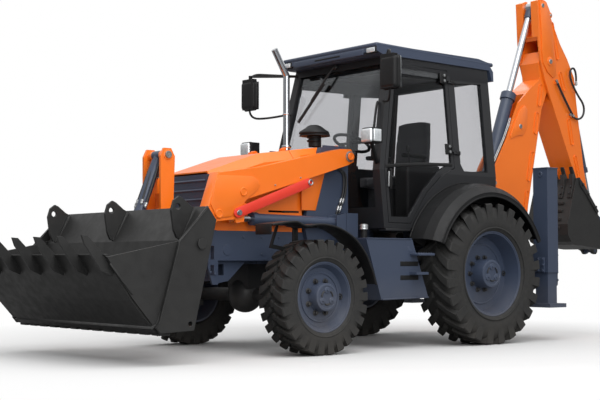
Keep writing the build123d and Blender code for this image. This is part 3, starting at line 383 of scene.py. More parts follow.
def dusted(tree, surface, place, mix, dust, reach):
    """Dust that settles on the lowest part of the machine, up to reach metres."""
    split = add(tree, "ShaderNodeSeparateXYZ", {}, {"Vector": place})
    noise = add(tree, "ShaderNodeTexNoise", {"Scale": 9.0, "Detail": 6.0}, {"Vector": place})
    fade = add(tree, "ShaderNodeMapRange", {"From Min": 0.0, "From Max": reach, "To Min": 0.45, "To Max": 0.0},
               {"Value": split.outputs["Z"]})
    veil = add(tree, "ShaderNodeMath", {"operation": "MULTIPLY"}, {0: fade.outputs["Result"], 1: noise.outputs["Fac"]})
    over = add(tree, "ShaderNodeMix", {"data_type": "RGBA", 7: dust}, {0: veil.outputs["Value"], 6: mix.outputs[2]})
    tree.links.new(over.outputs[2], surface.inputs["Base Color"])


def chosen(name):
    """The panel's colour for a finish."""
    return tuple(getattr(bpy.context.scene.loader_colours, name))


def enamel(name, key, shade, rough, coat):
    """Stoved enamel on sheet steel: an even colour, a clear gloss and the faint ripple of sprayed paint."""
    made, tree, surface, place = shader(name, {"Metallic": 0.0, "IOR": 1.5, "Coat Weight": coat,
                                               "Coat Roughness": 0.12})
    mix = mottled(tree, surface, place, chosen(key), linear(shade), 1.7, 0.22)
    dusted(tree, surface, place, mix, linear("#8C8378"), 0.7)
    uneven(tree, surface, place, 6.0, rough - 0.05, rough + 0.07)
    # ripple of 6 mm, drawn coarser than the real 2 mm so that it shows
    grained(tree, surface, place, 160.0, 0.0004, 0.25, edge=0.0025)
    return made


def bucket_enamel():
    """Charcoal enamel on hot-rolled plate: dull, rolled texture, rubbed lighter by soil in thin streaks."""
    base = chosen("bucket")
    made, tree, surface, place = shader("Charcoal_Bucket_Enamel", {"Metallic": 0.0, "IOR": 1.5})
    mix = mottled(tree, surface, place, base, linear("#2A2A29"), 4.0, 0.5, 8.0)
    stretch = add(tree, "ShaderNodeMapping", {"Scale": (2.0, 60.0, 14.0)}, {"Vector": place})
    scratch = add(tree, "ShaderNodeTexNoise", {"Scale": 3.0, "Detail": 8.0, "Roughness": 0.75},
                  {"Vector": stretch.outputs["Vector"]})
    thin = add(tree, "ShaderNodeMapRange", {"From Min": 0.62, "From Max": 0.74, "To Min": 0.0, "To Max": 0.25},
               {"Value": scratch.outputs["Fac"]})
    rubbed = add(tree, "ShaderNodeMix", {"data_type": "RGBA", 7: linear("#5E5B56")},
                 {0: thin.outputs["Result"], 6: mix.outputs[2]})
    tree.links.new(rubbed.outputs[2], surface.inputs["Base Color"])
    uneven(tree, surface, place, 12.0, 0.42, 0.6)
    grained(tree, surface, place, 90.0, 0.0008, 0.35, edge=0.006)
    return made


def tyre_rubber():
    """Carbon-black tyre rubber: matte, faintly powdery, with moulding grain."""
    base = chosen("rubber")
    made, tree, surface, place = shader("Tyre_Rubber", {"IOR": 1.52, "Specular IOR Level": 0.35})
    mix = mottled(tree, surface, place, base, linear("#353432"), 14.0, 0.6, 6.0)
    dusted(tree, surface, place, mix, linear("#5A554E"), 0.35)
    uneven(tree, surface, place, 30.0, 0.7, 0.88)
    grained(tree, surface, place, 240.0, 0.0006, 0.4)
    return made


def hose_rubber():
    """Extruded hose cover: black, silkier than the tyres."""
    made, tree, surface, place = shader("Hose_Rubber", {"IOR": 1.52})
    mottled(tree, surface, place, linear("#1F2022"), linear("#2B2B2D"), 40.0, 0.5)
    uneven(tree, surface, place, 50.0, 0.42, 0.55)
    grained(tree, surface, place, 500.0, 0.0003, 0.3)
    return made


def moulded_plastic():
    """Injection-moulded black plastic with an even leather-like grain."""
    base = chosen("plastic")
    made, tree, surface, place = shader("Black_Moulded_Plastic", {"IOR": 1.49, "Specular IOR Level": 0.3})
    mottled(tree, surface, place, base, linear("#202123"), 3.0, 0.4)
    uneven(tree, surface, place, 20.0, 0.46, 0.58)
    # grain of 3 mm, coarser than the real 1 mm so that it shows
    grained(tree, surface, place, 330.0, 0.0005, 0.35, "ShaderNodeTexVoronoi", 0.006)
    return made


def chrome():
    """Hard chrome on rods and the exhaust: mirror bright with fine turning marks."""
    made, tree, surface, place = shader("Hard_Chrome", {"Metallic": 1.0, "Roughness": 0.12})
    mottled(tree, surface, place, linear("#C9CCD1"), linear("#B2B6BD"), 8.0, 0.4)
    uneven(tree, surface, place, 60.0, 0.08, 0.2)
    grained(tree, surface, place, 700.0, 0.0001, 0.15)
    return made


def machined_steel():
    """Turned steel of pins, with a dull zinc bloom."""
    made, tree, surface, place = shader("Zinc_Plated_Steel", {"Metallic": 1.0})
    mottled(tree, surface, place, linear("#B9BBBC"), linear("#96989A"), 60.0, 0.7)
    uneven(tree, surface, place, 80.0, 0.3, 0.45)
    grained(tree, surface, place, 900.0, 0.0002, 0.25)
    return made


def tinted_pane():
    """Grey safety glass: each face dims what is behind it and mirrors a little, more at a slant."""
    base = chosen("pane")
    made, tree, surface, place = shader("Tinted_Safety_Glass", {"Metallic": 1.0, "Roughness": 0.03})
    mottled(tree, surface, place, linear("#E6EAEC"), linear("#D5DADD"), 1.2, 0.6)
    uneven(tree, surface, place, 3.0, 0.02, 0.06)
    through = add(tree, "ShaderNodeBsdfTransparent", {"Color": base})
    slant = add(tree, "ShaderNodeFresnel", {"IOR": 1.3})
    share = add(tree, "ShaderNodeMath", {"operation": "MULTIPLY", 1: 0.25}, {0: slant.outputs["Fac"]})
    mix = add(tree, "ShaderNodeMixShader", {}, {0: share.outputs["Value"], 1: through.outputs["BSDF"],
                                                2: surface.outputs["BSDF"]})
    tree.links.new(mix.outputs["Shader"], tree.nodes["Material Output"].inputs["Surface"])
    return made


def mirror_glass():
    """Silvered glass."""
    made, tree, surface, place = shader("Silvered_Glass", {"Metallic": 1.0, "Roughness": 0.04})
    mottled(tree, surface, place, linear("#D9DDDF"), linear("#C3C9CC"), 5.0, 0.5)
    return made


def lamp_lens():
    """Clear polycarbonate lens over a bright reflector, with vertical flutes 12 mm wide."""
    made, tree, surface, place = shader("Fluted_Lamp_Lens", {"IOR": 1.58, "Roughness": 0.08, "Coat Weight": 0.6,
                                                            "Metallic": 0.35})
    mottled(tree, surface, place, linear("#E4E8EA"), linear("#B9C0C6"), 30.0, 0.7)
    wave = add(tree, "ShaderNodeTexWave", {"Scale": 26.0, "Distortion": 0.2}, {"Vector": place})
    bump = add(tree, "ShaderNodeBump", {"Strength": 0.5, "Distance": 0.002}, {"Height": wave.outputs["Fac"]})
    tree.links.new(bump.outputs["Normal"], surface.inputs["Normal"])
    return made


def seat_cloth():
    """Woven seat cloth: threads of 3 mm, coarser than the real 1 mm so that they show, with a soft sheen."""
    base = chosen("cloth")
    made, tree, surface, place = shader("Woven_Seat_Cloth", {"Roughness": 0.85, "Sheen Weight": 0.35})
    mottled(tree, surface, place, base, linear("#24262B"), 9.0, 0.7)
    weft = add(tree, "ShaderNodeTexWave", {"bands_direction": "X", "Scale": 105.0}, {"Vector": place})
    warp = add(tree, "ShaderNodeTexWave", {"bands_direction": "Z", "Scale": 105.0}, {"Vector": place})
    weave = add(tree, "ShaderNodeMath", {"operation": "MULTIPLY"}, {0: weft.outputs["Fac"], 1: warp.outputs["Fac"]})
    bump = add(tree, "ShaderNodeBump", {"Strength": 0.5, "Distance": 0.001}, {"Height": weave.outputs["Value"]})
    tree.links.new(bump.outputs["Normal"], surface.inputs["Normal"])
    return made


# name of the material, colour, second tone, roughness, clear coat
ENAMELS = {
    # gloss enamel of the bodywork: deep colour under a clear shine
    "body enamel": ("Orange_Gloss_Enamel", "body", "#F06E16", 0.34, 0.35),
    # satin enamel of frame, roof and rims: soft, broad highlights
    "chassis enamel": ("Slate_Blue_Satin_Enamel", "chassis", "#343D4E", 0.44, 0.12),
    # red safety enamel of the strut
    "strut enamel": ("Red_Safety_Enamel", "strut", "#C93022", 0.36, 0.3),
    # black dip coat on castings and the cab's tubes: little sheen
    "underbody coat": ("Black_Dip_Coat", "underbody", "#1C1D20", 0.5, 0.05),
}
FINISHES = {
    "bucket enamel": bucket_enamel, "tyre rubber": tyre_rubber, "hose rubber": hose_rubber,
    "moulded plastic": moulded_plastic, "chrome": chrome, "machined steel": machined_steel,
    "tinted pane": tinted_pane, "mirror glass": mirror_glass, "lamp lens": lamp_lens, "seat cloth": seat_cloth,
}
made_finishes = {}


def material(finish):
    """The material of a finish, made once."""
    if finish not in made_finishes:
        made_finishes[finish] = enamel(*ENAMELS[finish]) if finish in ENAMELS else FINISHES[finish]()
    return made_finishes[finish]


# finish of each CAD node; a name that ends in * stands for all that start so
NODE_FINISHES = [
    ("body enamel", "hood_body hood_lid loader_arms boom dipper"),
    ("chassis enamel", "main_frame loader_towers roof side_tanks rear_frame carriage swing_post stabilizer_* rim_* "
                       "boom_barrel crowd_barrel bucket_barrel lift_barrels tilt_barrel guide_lever bucket_link "
                       "grille"),
    ("bucket enamel", "loader_bucket clam hoe_bucket"),
    ("underbody coat", "axle_* knuckle_* engine_block cab_frame door_l door_r seat_base"),
    ("strut enamel", "safety_strut"),
    ("tyre rubber", "tyre_*"),
    ("moulded plastic", "rear_fenders fender_front_* air_intake mirrors dash headlamps"),
    ("chrome", "exhaust lift_rods tilt_rod boom_rod crowd_rod bucket_rod"),
    ("tinted pane", "cab_glass door_glass_*"),
    ("seat cloth", "seat_pads"),
]


class LOADER_OT_finishes(bpy.types.Operator):
    """Gives each node of the frame its finish."""

    bl_idname = "loader.finishes"
    bl_label = "Finishes"

    def execute(self, context):
        left = set(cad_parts)
        for finish, names in NODE_FINISHES:
            for pattern in names.split():
                for name in [n for n in left if n == pattern or pattern.endswith("*") and n.startswith(pattern[:-1])]:
                    left.discard(name)
                    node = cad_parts[name]
                    for index in range(max(1, len(node.material_slots))):
                        if index < len(node.material_slots):
                            node.material_slots[index].material = material(finish)
                        else:
                            node.data.materials.append(material(finish))
        if left:
            raise RuntimeError(f"no finish for {sorted(left)}")
        return {"FINISHED"}


# ---- wheels ------------------------------------------------------------------------------------------------------
# y of the centre, radius, half width, rim seat, lug depth, tread, offset of the disc's face, hub radius, radius of the
# bolt circle, bolts, radius of the disc's step, radius of the valve's place
FRONT_WHEEL = (-2200, 503, 160, 301, 28, "front", 76, 122, 148, 8, 216, 236)
REAR_WHEEL = (0, REAR_RADIUS, 215, 411, 34, "rear", 22, 139, 166, 10, 300, 345)
WHEELS = [("wheel_fl", 960, *FRONT_WHEEL), ("wheel_fr", -960, *FRONT_WHEEL),
          ("wheel_rl", 930, *REAR_WHEEL), ("wheel_rr", -930, *REAR_WHEEL)]
# offset of the hub caps' faces from the middle of the wheel
HUB_FACE = 172
# lugs round the tyre, then each kind of lug as four stations from its outer to its inner end: place across the tyre as
# a share of its half width, place along the tread and half width as shares of the pitch
TREADS = {
    "front": (26, [((1.0, 0.94, 0.58, 0.30), (0.0, 0.0, 0.20, 0.46), (0.34, 0.33, 0.31, 0.26)),
                   ((0.24, 0.18, 0.10, 0.03), (0.52, 0.57, 0.63, 0.69), (0.22, 0.27, 0.27, 0.22))]),
    "rear": (24, [((1.0, 0.94, 0.52, 0.07), (0.0, 0.02, 0.36, 0.86), (0.28, 0.26, 0.23, 0.20))]),
}


def carcass(name, centre, half, seat, crown):
    """Smooth tyre body with a bead, a full side wall and a flat crown."""
    depth = crown - seat
    right = [(0.80, 0.01), (0.90, 0.06), (0.95, 0.16), (0.99, 0.30), (1.0, 0.45), (0.99, 0.60), (0.965, 0.74),
             (0.92, 0.86), (0.84, 0.95), (0.72, 0.99), (0.45, 1.0), (0.15, 1.0)]
    wall = [(x * half, seat + r * depth) for x, r in right]
    return turned(name, wall + [(-x, r) for x, r in reversed(wall)], centre, steps=96, smooth=50)


def lug(name, centre, half, crown, top, pitch, stations, side):
    """One tread lug, wrapped on the crown; its outer end runs down the shoulder."""
    begin()
    bpy.ops.mesh.primitive_cube_add(size=1)
    piece = named(name)
    bpy.ops.object.mode_set(mode="EDIT")
    bpy.ops.mesh.select_all(action="SELECT")
    bpy.ops.mesh.subdivide(number_cuts=5)
    bpy.ops.object.mode_set(mode="OBJECT")
    keys = (0.0, 0.2, 0.6, 1.0)
    for vertex in piece.data.vertices:
        # u runs from the outer to the inner end, v across the lug, w from its root to its top
        u, v, w = (c + 0.5 for c in vertex.co)
        k = min(2, sum(u > key for key in keys[1:]))
        t = (u - keys[k]) / (keys[k + 1] - keys[k])
        across, along, wide = (row[k] + (row[k + 1] - row[k]) * t for row in stations)
        # only a lug that reaches the tyre's edge runs down its shoulder
        end = max(0.0, 0.2 - u) / 0.2 if stations[0][0] == 1 else 0
        low = crown - 12 - 0.16 * crown * end
        radius = low + (top - 10 * end - low) * w
        offset = pitch * (along + (v - 0.5) * 2 * wide * (1 - 0.16 * w * (1 - 0.5 * end)))
        turn = offset / crown
        vertex.co = Vector(centre) + Vector((side * half * across, radius * sin(turn), radius * cos(turn))) / 1000
    return closed(piece, 30)


def hub_cap(name, centre, out, radius, depth):
    """Hub drum with a flat face, a sunk star and three round lobes; three dark arcs paint the shade in its slots."""
    r = radius
    drum = turned(name, [(-depth, 0), (-depth, r + 8), (-depth + 16, r + 2), (-depth + 22, r), (-10, r), (-3, r - 4),
                         (0, r - 12), (0, r * 0.80), (-3, r * 0.78), (-3, 0)], centre, (out, 0, 0), steps=56)
    lobes, slots = [drum], []
    for index in range(3):
        turn = radians(90 + index * 120)
        middle = Vector(centre) + Vector((0, cos(turn), sin(turn))) * (r * 0.50 / 1000)
        lobes.append(turned(f"{name}_lobe{index}", [(-4, 0), (-4, r * 0.25), (3, r * 0.24), (6, r * 0.19), (6, 0)],
                            middle, (out, 0, 0), steps=24))
        lobes.append(bolt(f"{name}_screw{index}", middle + Vector((out * 0.005, 0, 0)), (out, 0, 0), 0.017))
        # dark arcs stand in for the shade inside the cap's slots: painted shade
        arc = []
        for step in range(5):
            angle = turn + radians(36 + 12 * step)
            arc.append(Vector(centre) + Vector((out * 0.001, cos(angle) * r * 0.52 / 1000,
                                                sin(angle) * r * 0.52 / 1000)))
        slots.append(pipe(f"{name}_slot{index}", arc, 0.014))
    return joined(name, lobes), joined(f"{name}_slots", slots)


class LOADER_OT_wheels(bpy.types.Operator):
    """Tyres with wrapped lugs, rim beads, wheel bolts, hub drums and valves."""

    bl_idname = "loader.wheels"
    bl_label = "Wheels"

    def execute(self, context):
        sizes = context.scene.loader_sizes
        for body, x, y, radius, half, seat, depth, tread, face, hub, circle, bolts, step, valve_r in WHEELS:
            corner = body[-2:]
            out = 1 if x > 0 else -1
            centre = at(x, y, radius)
            top, crown = radius - 1, radius - 1 - depth
            skin = carcass(f"tyre_wall_{corner}", centre, half, seat, crown)
            count, kinds = TREADS[tread]
            pitch = 2 * pi * crown / count
            bars = []
            for side in (-1, 1):
                for index, stations in enumerate(kinds):
                    one = lug(f"lug_{corner}_{side}_{index}", centre, half, crown, top, pitch, stations, side * out)
                    turns = [about(centre, (1, 0, 0), 2 * pi / count * (i + (0.5 if side > 0 else 0)))
                             for i in range(count)]
                    bars.append(spread(f"lugs_{corner}_{side}_{index}", one, turns))
            wall = half * 0.99
            ring = turned(f"bead_{corner}", [(wall, seat + 34), (wall + 4, seat + 40), (wall + 4, seat + 44),
                                             (wall, seat + 50), (half * 0.95, seat + 50), (half * 0.95, seat + 34)],
                          centre, (out, 0, 0), steps=96)
            tyre = joined(f"tyre_{corner}_dressed", [skin, ring] + bars)
            done(tyre, "tyre rubber", body)
            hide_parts(f"tyre_{corner}")
            disc, rim = x + out * face, half * 0.8
            lip = turned(f"rim_lip_{corner}", [(rim - 6, seat - 2), (rim + 4, seat - 8), (rim + 12, seat - 5),
                                               (rim + 14, seat + 4), (rim + 8, seat + 12), (rim - 6, seat + 4)],
                         centre, (out, 0, 0), steps=96)
            seam = turned(f"disc_step_{corner}", [(-2, step - 14), (5, step - 12), (7, step - 6), (7, step),
                                                  (2, step + 4), (-2, step + 4)],
                          at(disc, y, radius), (out, 0, 0), steps=80)
            done(joined(f"rim_rings_{corner}", [lip, seam]), "chassis enamel", body)
            one = bolt(f"bolt_{corner}", at(disc + out * 5, y, radius + circle), (out, 0, 0), sizes.bolt, 0.7)
            washer = turned(f"washer_{corner}", [(0, 8), (0, 25), (4, 25), (7, 20), (7, 8)],
                            at(disc, y, radius + circle), (out, 0, 0), steps=20)
            one = joined(f"bolt_{corner}", [one, washer])
            turns = [about(centre, (1, 0, 0), 2 * pi / bolts * (i + 0.5)) for i in range(bolts)]
            done(spread(f"wheel_bolts_{corner}", one, turns), "underbody coat", body)
            drum, slots = hub_cap(f"hub_cap_{corner}", at(x + out * HUB_FACE, y, radius), out, hub, HUB_FACE - face)
            done(drum, "chassis enamel", body)
            # the dark arcs on the cap paint the shade in its slots
            done(slots, "underbody coat", body)
            # a dark rubber ring round the stem stands in for the shade in the rim's valve hole: painted shade
            hole = turned(f"valve_ring_{corner}", [(-1, 15), (-1, 28), (6, 26), (8, 20), (3, 15)],
                          at(disc, y + valve_r, radius), (out, 0, 0), steps=28)
            stem = turned(f"valve_{corner}", [(-1, 0), (-1, 7), (24, 6), (26, 4), (26, 0)],
                          at(disc, y + valve_r, radius), (out, 0, 0), steps=16)
            done(joined(f"valve_{corner}", [hole, stem]), "hose rubber", body)
        return {"FINISHED"}


# ---- front arms and mast -----------------------------------------------------------------------------------------
# outer face of the lift arms
ARM_FACE = 540
ARM_PLATE = [(-2935, 1562), (-2565, 1568), (-2500, 1535), (-2485, 1480), (-2520, 1440), (-2638, 1356), (-2690, 1290),
             (-2760, 1252), (-2800, 1205), (-2960, 1190), (-3022, 1310), (-2974, 1500)]
# y, z, radius of the raised bosses on an arm
ARM_BOSSES = [(-2666, 1427, 36), (-2934, 1226, 36)]
# name, y, z, radius, finish of the head and of its collar
ARM_PINS = [("arm_pivot_pin", -1388, 1809, 38, "body enamel", "machined steel"),
            ("strut_pin", -2717, 1240, 26, "machined steel", "body enamel")]


class LOADER_OT_lift_arms(bpy.types.Operator):
    """Doubler plates, bosses, leading strips, pin heads and safety strut of the lift arms."""

    bl_idname = "loader.lift_arms"
    bl_label = "Lift arms"

    def execute(self, context):
        plate = slab("arm_doubler", ARM_PLATE, ARM_FACE - 1, ARM_FACE + 11, 2)
        pair("arm_doublers", plate, "body enamel", "arms")
        bosses = [turned(f"arm_boss_{i}", [(0, 0), (0, r + 5), (5, r + 4), (10, r), (10, r - 8), (7, r - 10), (7, 0)],
                         at(ARM_FACE + 10, y, z), steps=32) for i, (y, z, r) in enumerate(ARM_BOSSES)]
        pair("arm_bosses", joined("arm_boss", bosses), "body enamel", "arms")
        strip = slab("arm_strip", [(-2940, 1590), (-2915, 1584), (-3014, 1300), (-3405, 500), (-3432, 500),
                                   (-3046, 1290)], ARM_FACE - 120, ARM_FACE + 4, 3)
        pair("arm_front_strips", strip, "body enamel", "arms")
        for name, y, z, r, finish, collar_finish in ARM_PINS:
            head = pin_head(name, at(ARM_FACE + 15, y, z), (1, 0, 0), r)
            collar = turned(f"{name}_collar", [(-2, r + 2), (-2, r + 14), (6, r + 13), (8, r + 8), (8, r + 2)],
                            at(ARM_FACE + 6, y, z), steps=36)
            pair(f"{name}s", head, finish, "arms")
            pair(f"{name}_collars", collar, collar_finish, "arms")
        low, high = Vector((-2733, 1238)), Vector((-1926, 1533))
        turn = atan2(high.y - low.y, high.x - low.x)
        wide = 44
        line = [(p.x + wide * cos(turn + t), p.y + wide * sin(turn + t))
                for p, start in ((high, -90), (low, 90)) for t in (radians(start + 15 * k) for k in range(13))]
        strut = slab("strut", line, ARM_FACE + 12, ARM_FACE + 24, 3)
        done(strut, "strut enamel", "arms")
        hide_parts("safety_strut")
        heads = [pin_head("strut_head", at(ARM_FACE + 22, low.x, low.y), (1, 0, 0), 18, 10)]
        for end, r in ((low, 16), (high, 14)):
            heads.append(turned("strut_spacer", [(0, 0), (0, r), (14, r), (14, 0)], at(ARM_FACE - 1, end.x, end.y),
                                steps=20))
        done(joined("strut_heads", heads), "machined steel", "arms")
        hook = slab("strut_lug", [(-2775, 1262), (-2700, 1285), (-2668, 1262), (-2690, 1215), (-2760, 1210)],
                    ARM_FACE - 1, ARM_FACE + 9, 2)
        done(hook, "body enamel", "arms")
        ring = turned("strut_ring", [(-9, 22), (-3, 28), (9, 28), (12, 22), (9, 17), (-3, 17)],
                      at(ARM_FACE + 26, -1902, 1540), steps=28)
        done(ring, "machined steel", "arms")
        greasers = []
        for y, z in ((-2000, 1580), (-2300, 1500), (-3290, 800)):
            greasers.append(turned("greaser", [(0, 0), (0, 8), (5, 8), (6, 5), (12, 5), (14, 3), (14, 0)],
                                   at(ARM_FACE - 1, y, z), steps=12))
        pair("arm_greasers", joined("greasers", greasers), "machined steel", "arms")
        return {"FINISHED"}


# control points of the mast hoses, from the pipe block on the mast to the tilt cylinder's ports
MAST_HOSES = [
    ((52, -3145, 1610), (50, -3130, 1700), (30, -3135, 1786), (16, -3230, 1740), (20, -3300, 1560), (30, -3390, 1320)),
    ((88, -3140, 1600), (92, -3120, 1690), (70, -3110, 1770), (60, -3215, 1720), (68, -3290, 1520), (74, -3380, 1290)),
    ((-52, -3145, 1610), (-50, -3130, 1700), (-30, -3135, 1786), (-16, -3230, 1740), (-26, -3300, 1560),
     (-40, -3390, 1320)),
    ((-88, -3140, 1600), (-92, -3120, 1690), (-70, -3110, 1770), (-60, -3215, 1720), (-72, -3290, 1520),
     (-80, -3380, 1290)),
]


def fitting(name, place, along, width):
    """Crimped hose end with its union nut."""
    r = width * 500
    return turned(name, [(-12, 0), (-12, r * 0.9), (0, r * 1.35), (18, r * 1.35), (20, r * 1.6), (34, r * 1.6),
                         (36, r * 1.0), (44, r * 0.9), (44, 0)], place, along, steps=18, smooth=20)


class LOADER_OT_mast(bpy.types.Operator):
    """Hoses, fittings and pin heads of the tilt mast."""

    bl_idname = "loader.mast"
    bl_label = "Tilt mast"

    def execute(self, context):
        width = context.scene.loader_sizes.hose
        hoses, ends = [], []
        for index, route in enumerate(MAST_HOSES):
            points = [at(*point) for point in route]
            hoses.append(pipe(f"mast_hose_{index}", points, width))
            ends.append(fitting(f"mast_fitting_{index}", points[0], points[0] - points[1], width))
            ends.append(fitting(f"mast_end_{index}", points[-1], points[-2] - points[-1], width))
        done(joined("mast_hoses", hoses), "hose rubber", "arms")
        done(joined("mast_fittings", ends), "machined steel", "arms")
        head = pin_head("mast_top_pin", at(146, -3195, 1752), (1, 0, 0), 34, 18)
        pair("mast_pins", head, "machined steel", "arms")
        rim = turned("mast_rim", [(0, 34), (0, 46), (5, 46), (8, 40), (8, 34)], at(145, -3195, 1752), steps=32)
        pair("mast_rims", rim, "body enamel", "arms")
        return {"FINISHED"}


# ---- front bucket ------------------------------------------------------------------------------------------------
# half of the bucket's overall width in metres, which nothing passes
BUCKET_SIDE = 1.1975


class LOADER_OT_bucket(bpy.types.Operator):
    """Wear parts, pivot washers and stops of the front bucket."""

    bl_idname = "loader.bucket"
    bl_label = "Front bucket"

    def execute(self, context):
        pivot = turned("clam_pivot", [(0, 8), (0, 44), (6, 44), (9, 38), (9, 30), (5, 27), (5, 20), (9, 18), (9, 8)],
                       at(1197, -3574, 951), steps=36)
        pivot = joined("clam_pivot", [pivot, bolt("clam_pivot_bolt", at(1198, -3574, 951), (1, 0, 0), 0.03, 0.5)])
        for vertex in pivot.data.vertices:
            vertex.co.x = min(vertex.co.x, BUCKET_SIDE)
        pair("clam_pivots", pivot, "bucket enamel", "bucket")
        lump = block("edge_lump", (-62, -3935, 236), (62, -3835, 262), 9, 3)
        places = [Matrix.Translation((x / 1000, 0, 0)) for x in range(-1080, 1081, 180)]
        done(spread("edge_lumps", lump, places), "bucket enamel", "bucket")
        rib = slab("clam_rib", [(-4398, 790), (-4200, 560), (-4188, 566), (-4386, 800)], 1154, 1161, 2)
        pair("clam_ribs", rib, "bucket enamel", "clam")
        weld = slab("wing_strip", [(-3508, 1249), (-3501, 1249), (-3777, 968), (-3960, 350), (-3990, 306),
                                   (-3994, 303), (-3967, 352), (-3784, 972)], 1183, 1190, 1.5)
        pair("wing_strips", weld, "bucket enamel", "bucket")
        bead = block("lip_bead", (-1128, -4432, 856), (1128, -4398, 868), 4, 2)
        done(bead, "bucket enamel", "clam")
        gussets = [slab(f"gusset_{x}", [(-3540, 1240), (-3500, 1225), (-3620, 1010), (-3655, 1010)], x - 34, x + 34, 5)
                   for x in (1000, 0, -1000)]
        done(joined("fork_gussets", gussets), "bucket enamel", "bucket")
        return {"FINISHED"}


# ---- hood --------------------------------------------------------------------------------------------------------
class LOADER_OT_hood(bpy.types.Operator):
    """Grille blades, side slots as painted shade, covers, latches, the intake's hat and the exhaust's collars."""

    bl_idname = "loader.hood"
    bl_label = "Hood"

    def execute(self, context):
        blades = []
        for index in range(5):
            low = 1146 + index * 84
            blades.append(slab(f"blade_{index}", [(-2930, low + 44), (-2922, low + 58), (-2896, low + 30),
                                                  (-2902, low + 16)], -330, 330, 3))
        done(joined("grille_blades", blades), "chassis enamel", "chassis")
        bars = [block(f"mesh_{x}", (x - 2, -2906, 1110), (x + 2, -2900, 1540), 1, 1) for x in range(-320, 321, 40)]
        done(joined("grille_mesh", bars), "moulded plastic", "chassis")
        # a thin dark plastic strip stands in for the shade inside each side slot: painted shade
        slot = slab("hood_slot", [(-2085, 1263), (-1890, 1265), (-1890, 1283), (-2085, 1281)], 378, 387, 3)
        pair("hood_slots", slot, "moulded plastic", "chassis")
        cover = slab("side_cover", [(-1880, 1290), (-1880, 1640), (-1582, 1680), (-1707, 1290)], 409, 416, 3)
        pair("side_covers", cover, "body enamel", "chassis")
        handle = block("hood_latch", (372, -2330, 1560), (392, -2260, 1590), 5, 3)
        pair("hood_latches", handle, "moulded plastic", "chassis")
        x, y = 205, -1543
        hat = turned("intake_hat", [(0, 0), (0, 132), (6, 146), (16, 148), (30, 140), (64, 84), (82, 66), (92, 40),
                                    (94, 0)], at(x, y, 2034), (0, 0, 1), steps=56)
        ribs = []
        for index in range(12):
            turn = 2 * pi * index / 12
            rib = block("hat_rib", (x + 70, y - 3, 2040), (x + 140, y + 3, 2062), 2, 1)
            rib.data.transform(about(at(x, y, 0), (0, 0, 1), turn))
            ribs.append(rib)
        bands = [turned(f"intake_band_{z}", [(0, 60), (0, 68), (5, 70), (12, 70), (17, 68), (17, 60)],
                        at(x, y, z), (0, 0, 1), steps=40) for z in (1965, 2000)]
        for piece in (hat, joined("hat_ribs", ribs), joined("intake_bands", bands)):
            done(piece, "moulded plastic", "chassis")
        collar = [turned(f"exhaust_collar_{z}", [(0, 31), (0, r), (h * 0.3, r + 3), (h * 0.7, r + 3), (h, r), (h, 31)],
                         at(60, -1770, z), (0, 0, 1), steps=40) for z, r, h in ((1900, 44, 26), (2220, 34, 14))]
        done(joined("exhaust_collars", collar), "chrome", "chassis")
        return {"FINISHED"}


# ---- mudguards ---------------------------------------------------------------------------------------------------
GUARD_LINE = [(-2790, 1128), (-2660, 1147), (-2528, 1160), (-2470, 1142), (-2407, 1124), (-2280, 1140), (-2161, 1138),
              (-2030, 1112), (-1924, 1068), (-1835, 1015), (-1762, 945), (-1696, 865), (-1652, 780), (-1610, 690),
              (-1586, 612)]


class LOADER_OT_mudguards(bpy.types.Operator):
    """Smooth front mudguards on their brackets, and beads round the rear ones."""

    bl_idname = "loader.mudguards"
    bl_label = "Mudguards"

    def execute(self, context):
        skin = sheet("front_guard", rounded(GUARD_LINE, 4), 13, 866, 1106, 3)
        lip = pipe("front_guard_lip", [at(1103, y, z - 8) for y, z in rounded(GUARD_LINE, 2)], 0.02, 4)
        tip = slab("front_guard_apron", [(-2795, 1132), (-2795, 1040), (-2783, 1040), (-2783, 1132)], 880, 1092, 3)
        post = slab("guard_post", [(-2245, 595), (-2155, 595), (-2175, 1118), (-2225, 1118)], 688, 712, 3)
        shelf = slab("guard_shelf", [(-2240, 1112), (-2160, 1108), (-2160, 1124), (-2240, 1126)], 688, 960, 3)
        foot = block("guard_foot", (560, -2245, 608), (690, -2155, 653), 3, 2)
        brace = slab("guard_brace", [(-2560, 1140), (-2530, 1140), (-2600, 960), (-2250, 900), (-2250, 870),
                                     (-2640, 930)], 868, 884, 3)
        whole = joined("front_guard_l", [skin, lip, tip, post, shelf, foot, brace])
        twin = opposite("front_guard_r", whole)
        for piece, side in ((whole, "l"), (twin, "r")):
            done(piece, "moulded plastic", f"knuckle_{side}")
            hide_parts(f"fender_front_{side}")
        beads = []
        for x, r, width in ((1120, 764, 0.018), (1123, 800, 0.012), (797, 911, 0.016)):
            arc = [at(x, r * cos(radians(t)), REAR_RADIUS + r * sin(radians(t))) for t in range(25, 158, 6)]
            beads.append(pipe("rear_guard_bead", arc, width, 4))
        pair("rear_guard_beads", joined("rear_guard_bead", beads), "moulded plastic", "chassis")
        return {"FINISHED"}


# ---- cab ---------------------------------------------------------------------------------------------------------
def side_x(z):
    """Distance of the cab's leaning side wall from the middle at a height."""
    return 800 - 110 * (z - 1680) / 1120 if z > 1680 else 780 + 20 * (z - 1130) / 550


def front_y(z):
    """Place of the cab's front wall at a height."""
    return -1245 + 230 * (z - 1680) / 1120 if z > 1680 else -1165 - 80 * (z - 1130) / 550


def leaned(piece, made=800):
    """Leans a piece made for a wall at x = made so that it lies on the side wall."""
    for vertex in piece.data.vertices:
        height = (vertex.co.z - GROUND) * 1000
        vertex.co.x += (side_x(height) - made) / 1000
    return piece


def both_doors(name, piece, finish):
    """A door fitting for the left door and its mirror image for the right one."""
    twin = opposite(f"{name}_r", piece)
    piece.name = piece.data.name = f"{name}_l"
    done(piece, finish, "door_l")
    done(twin, finish, "door_r")


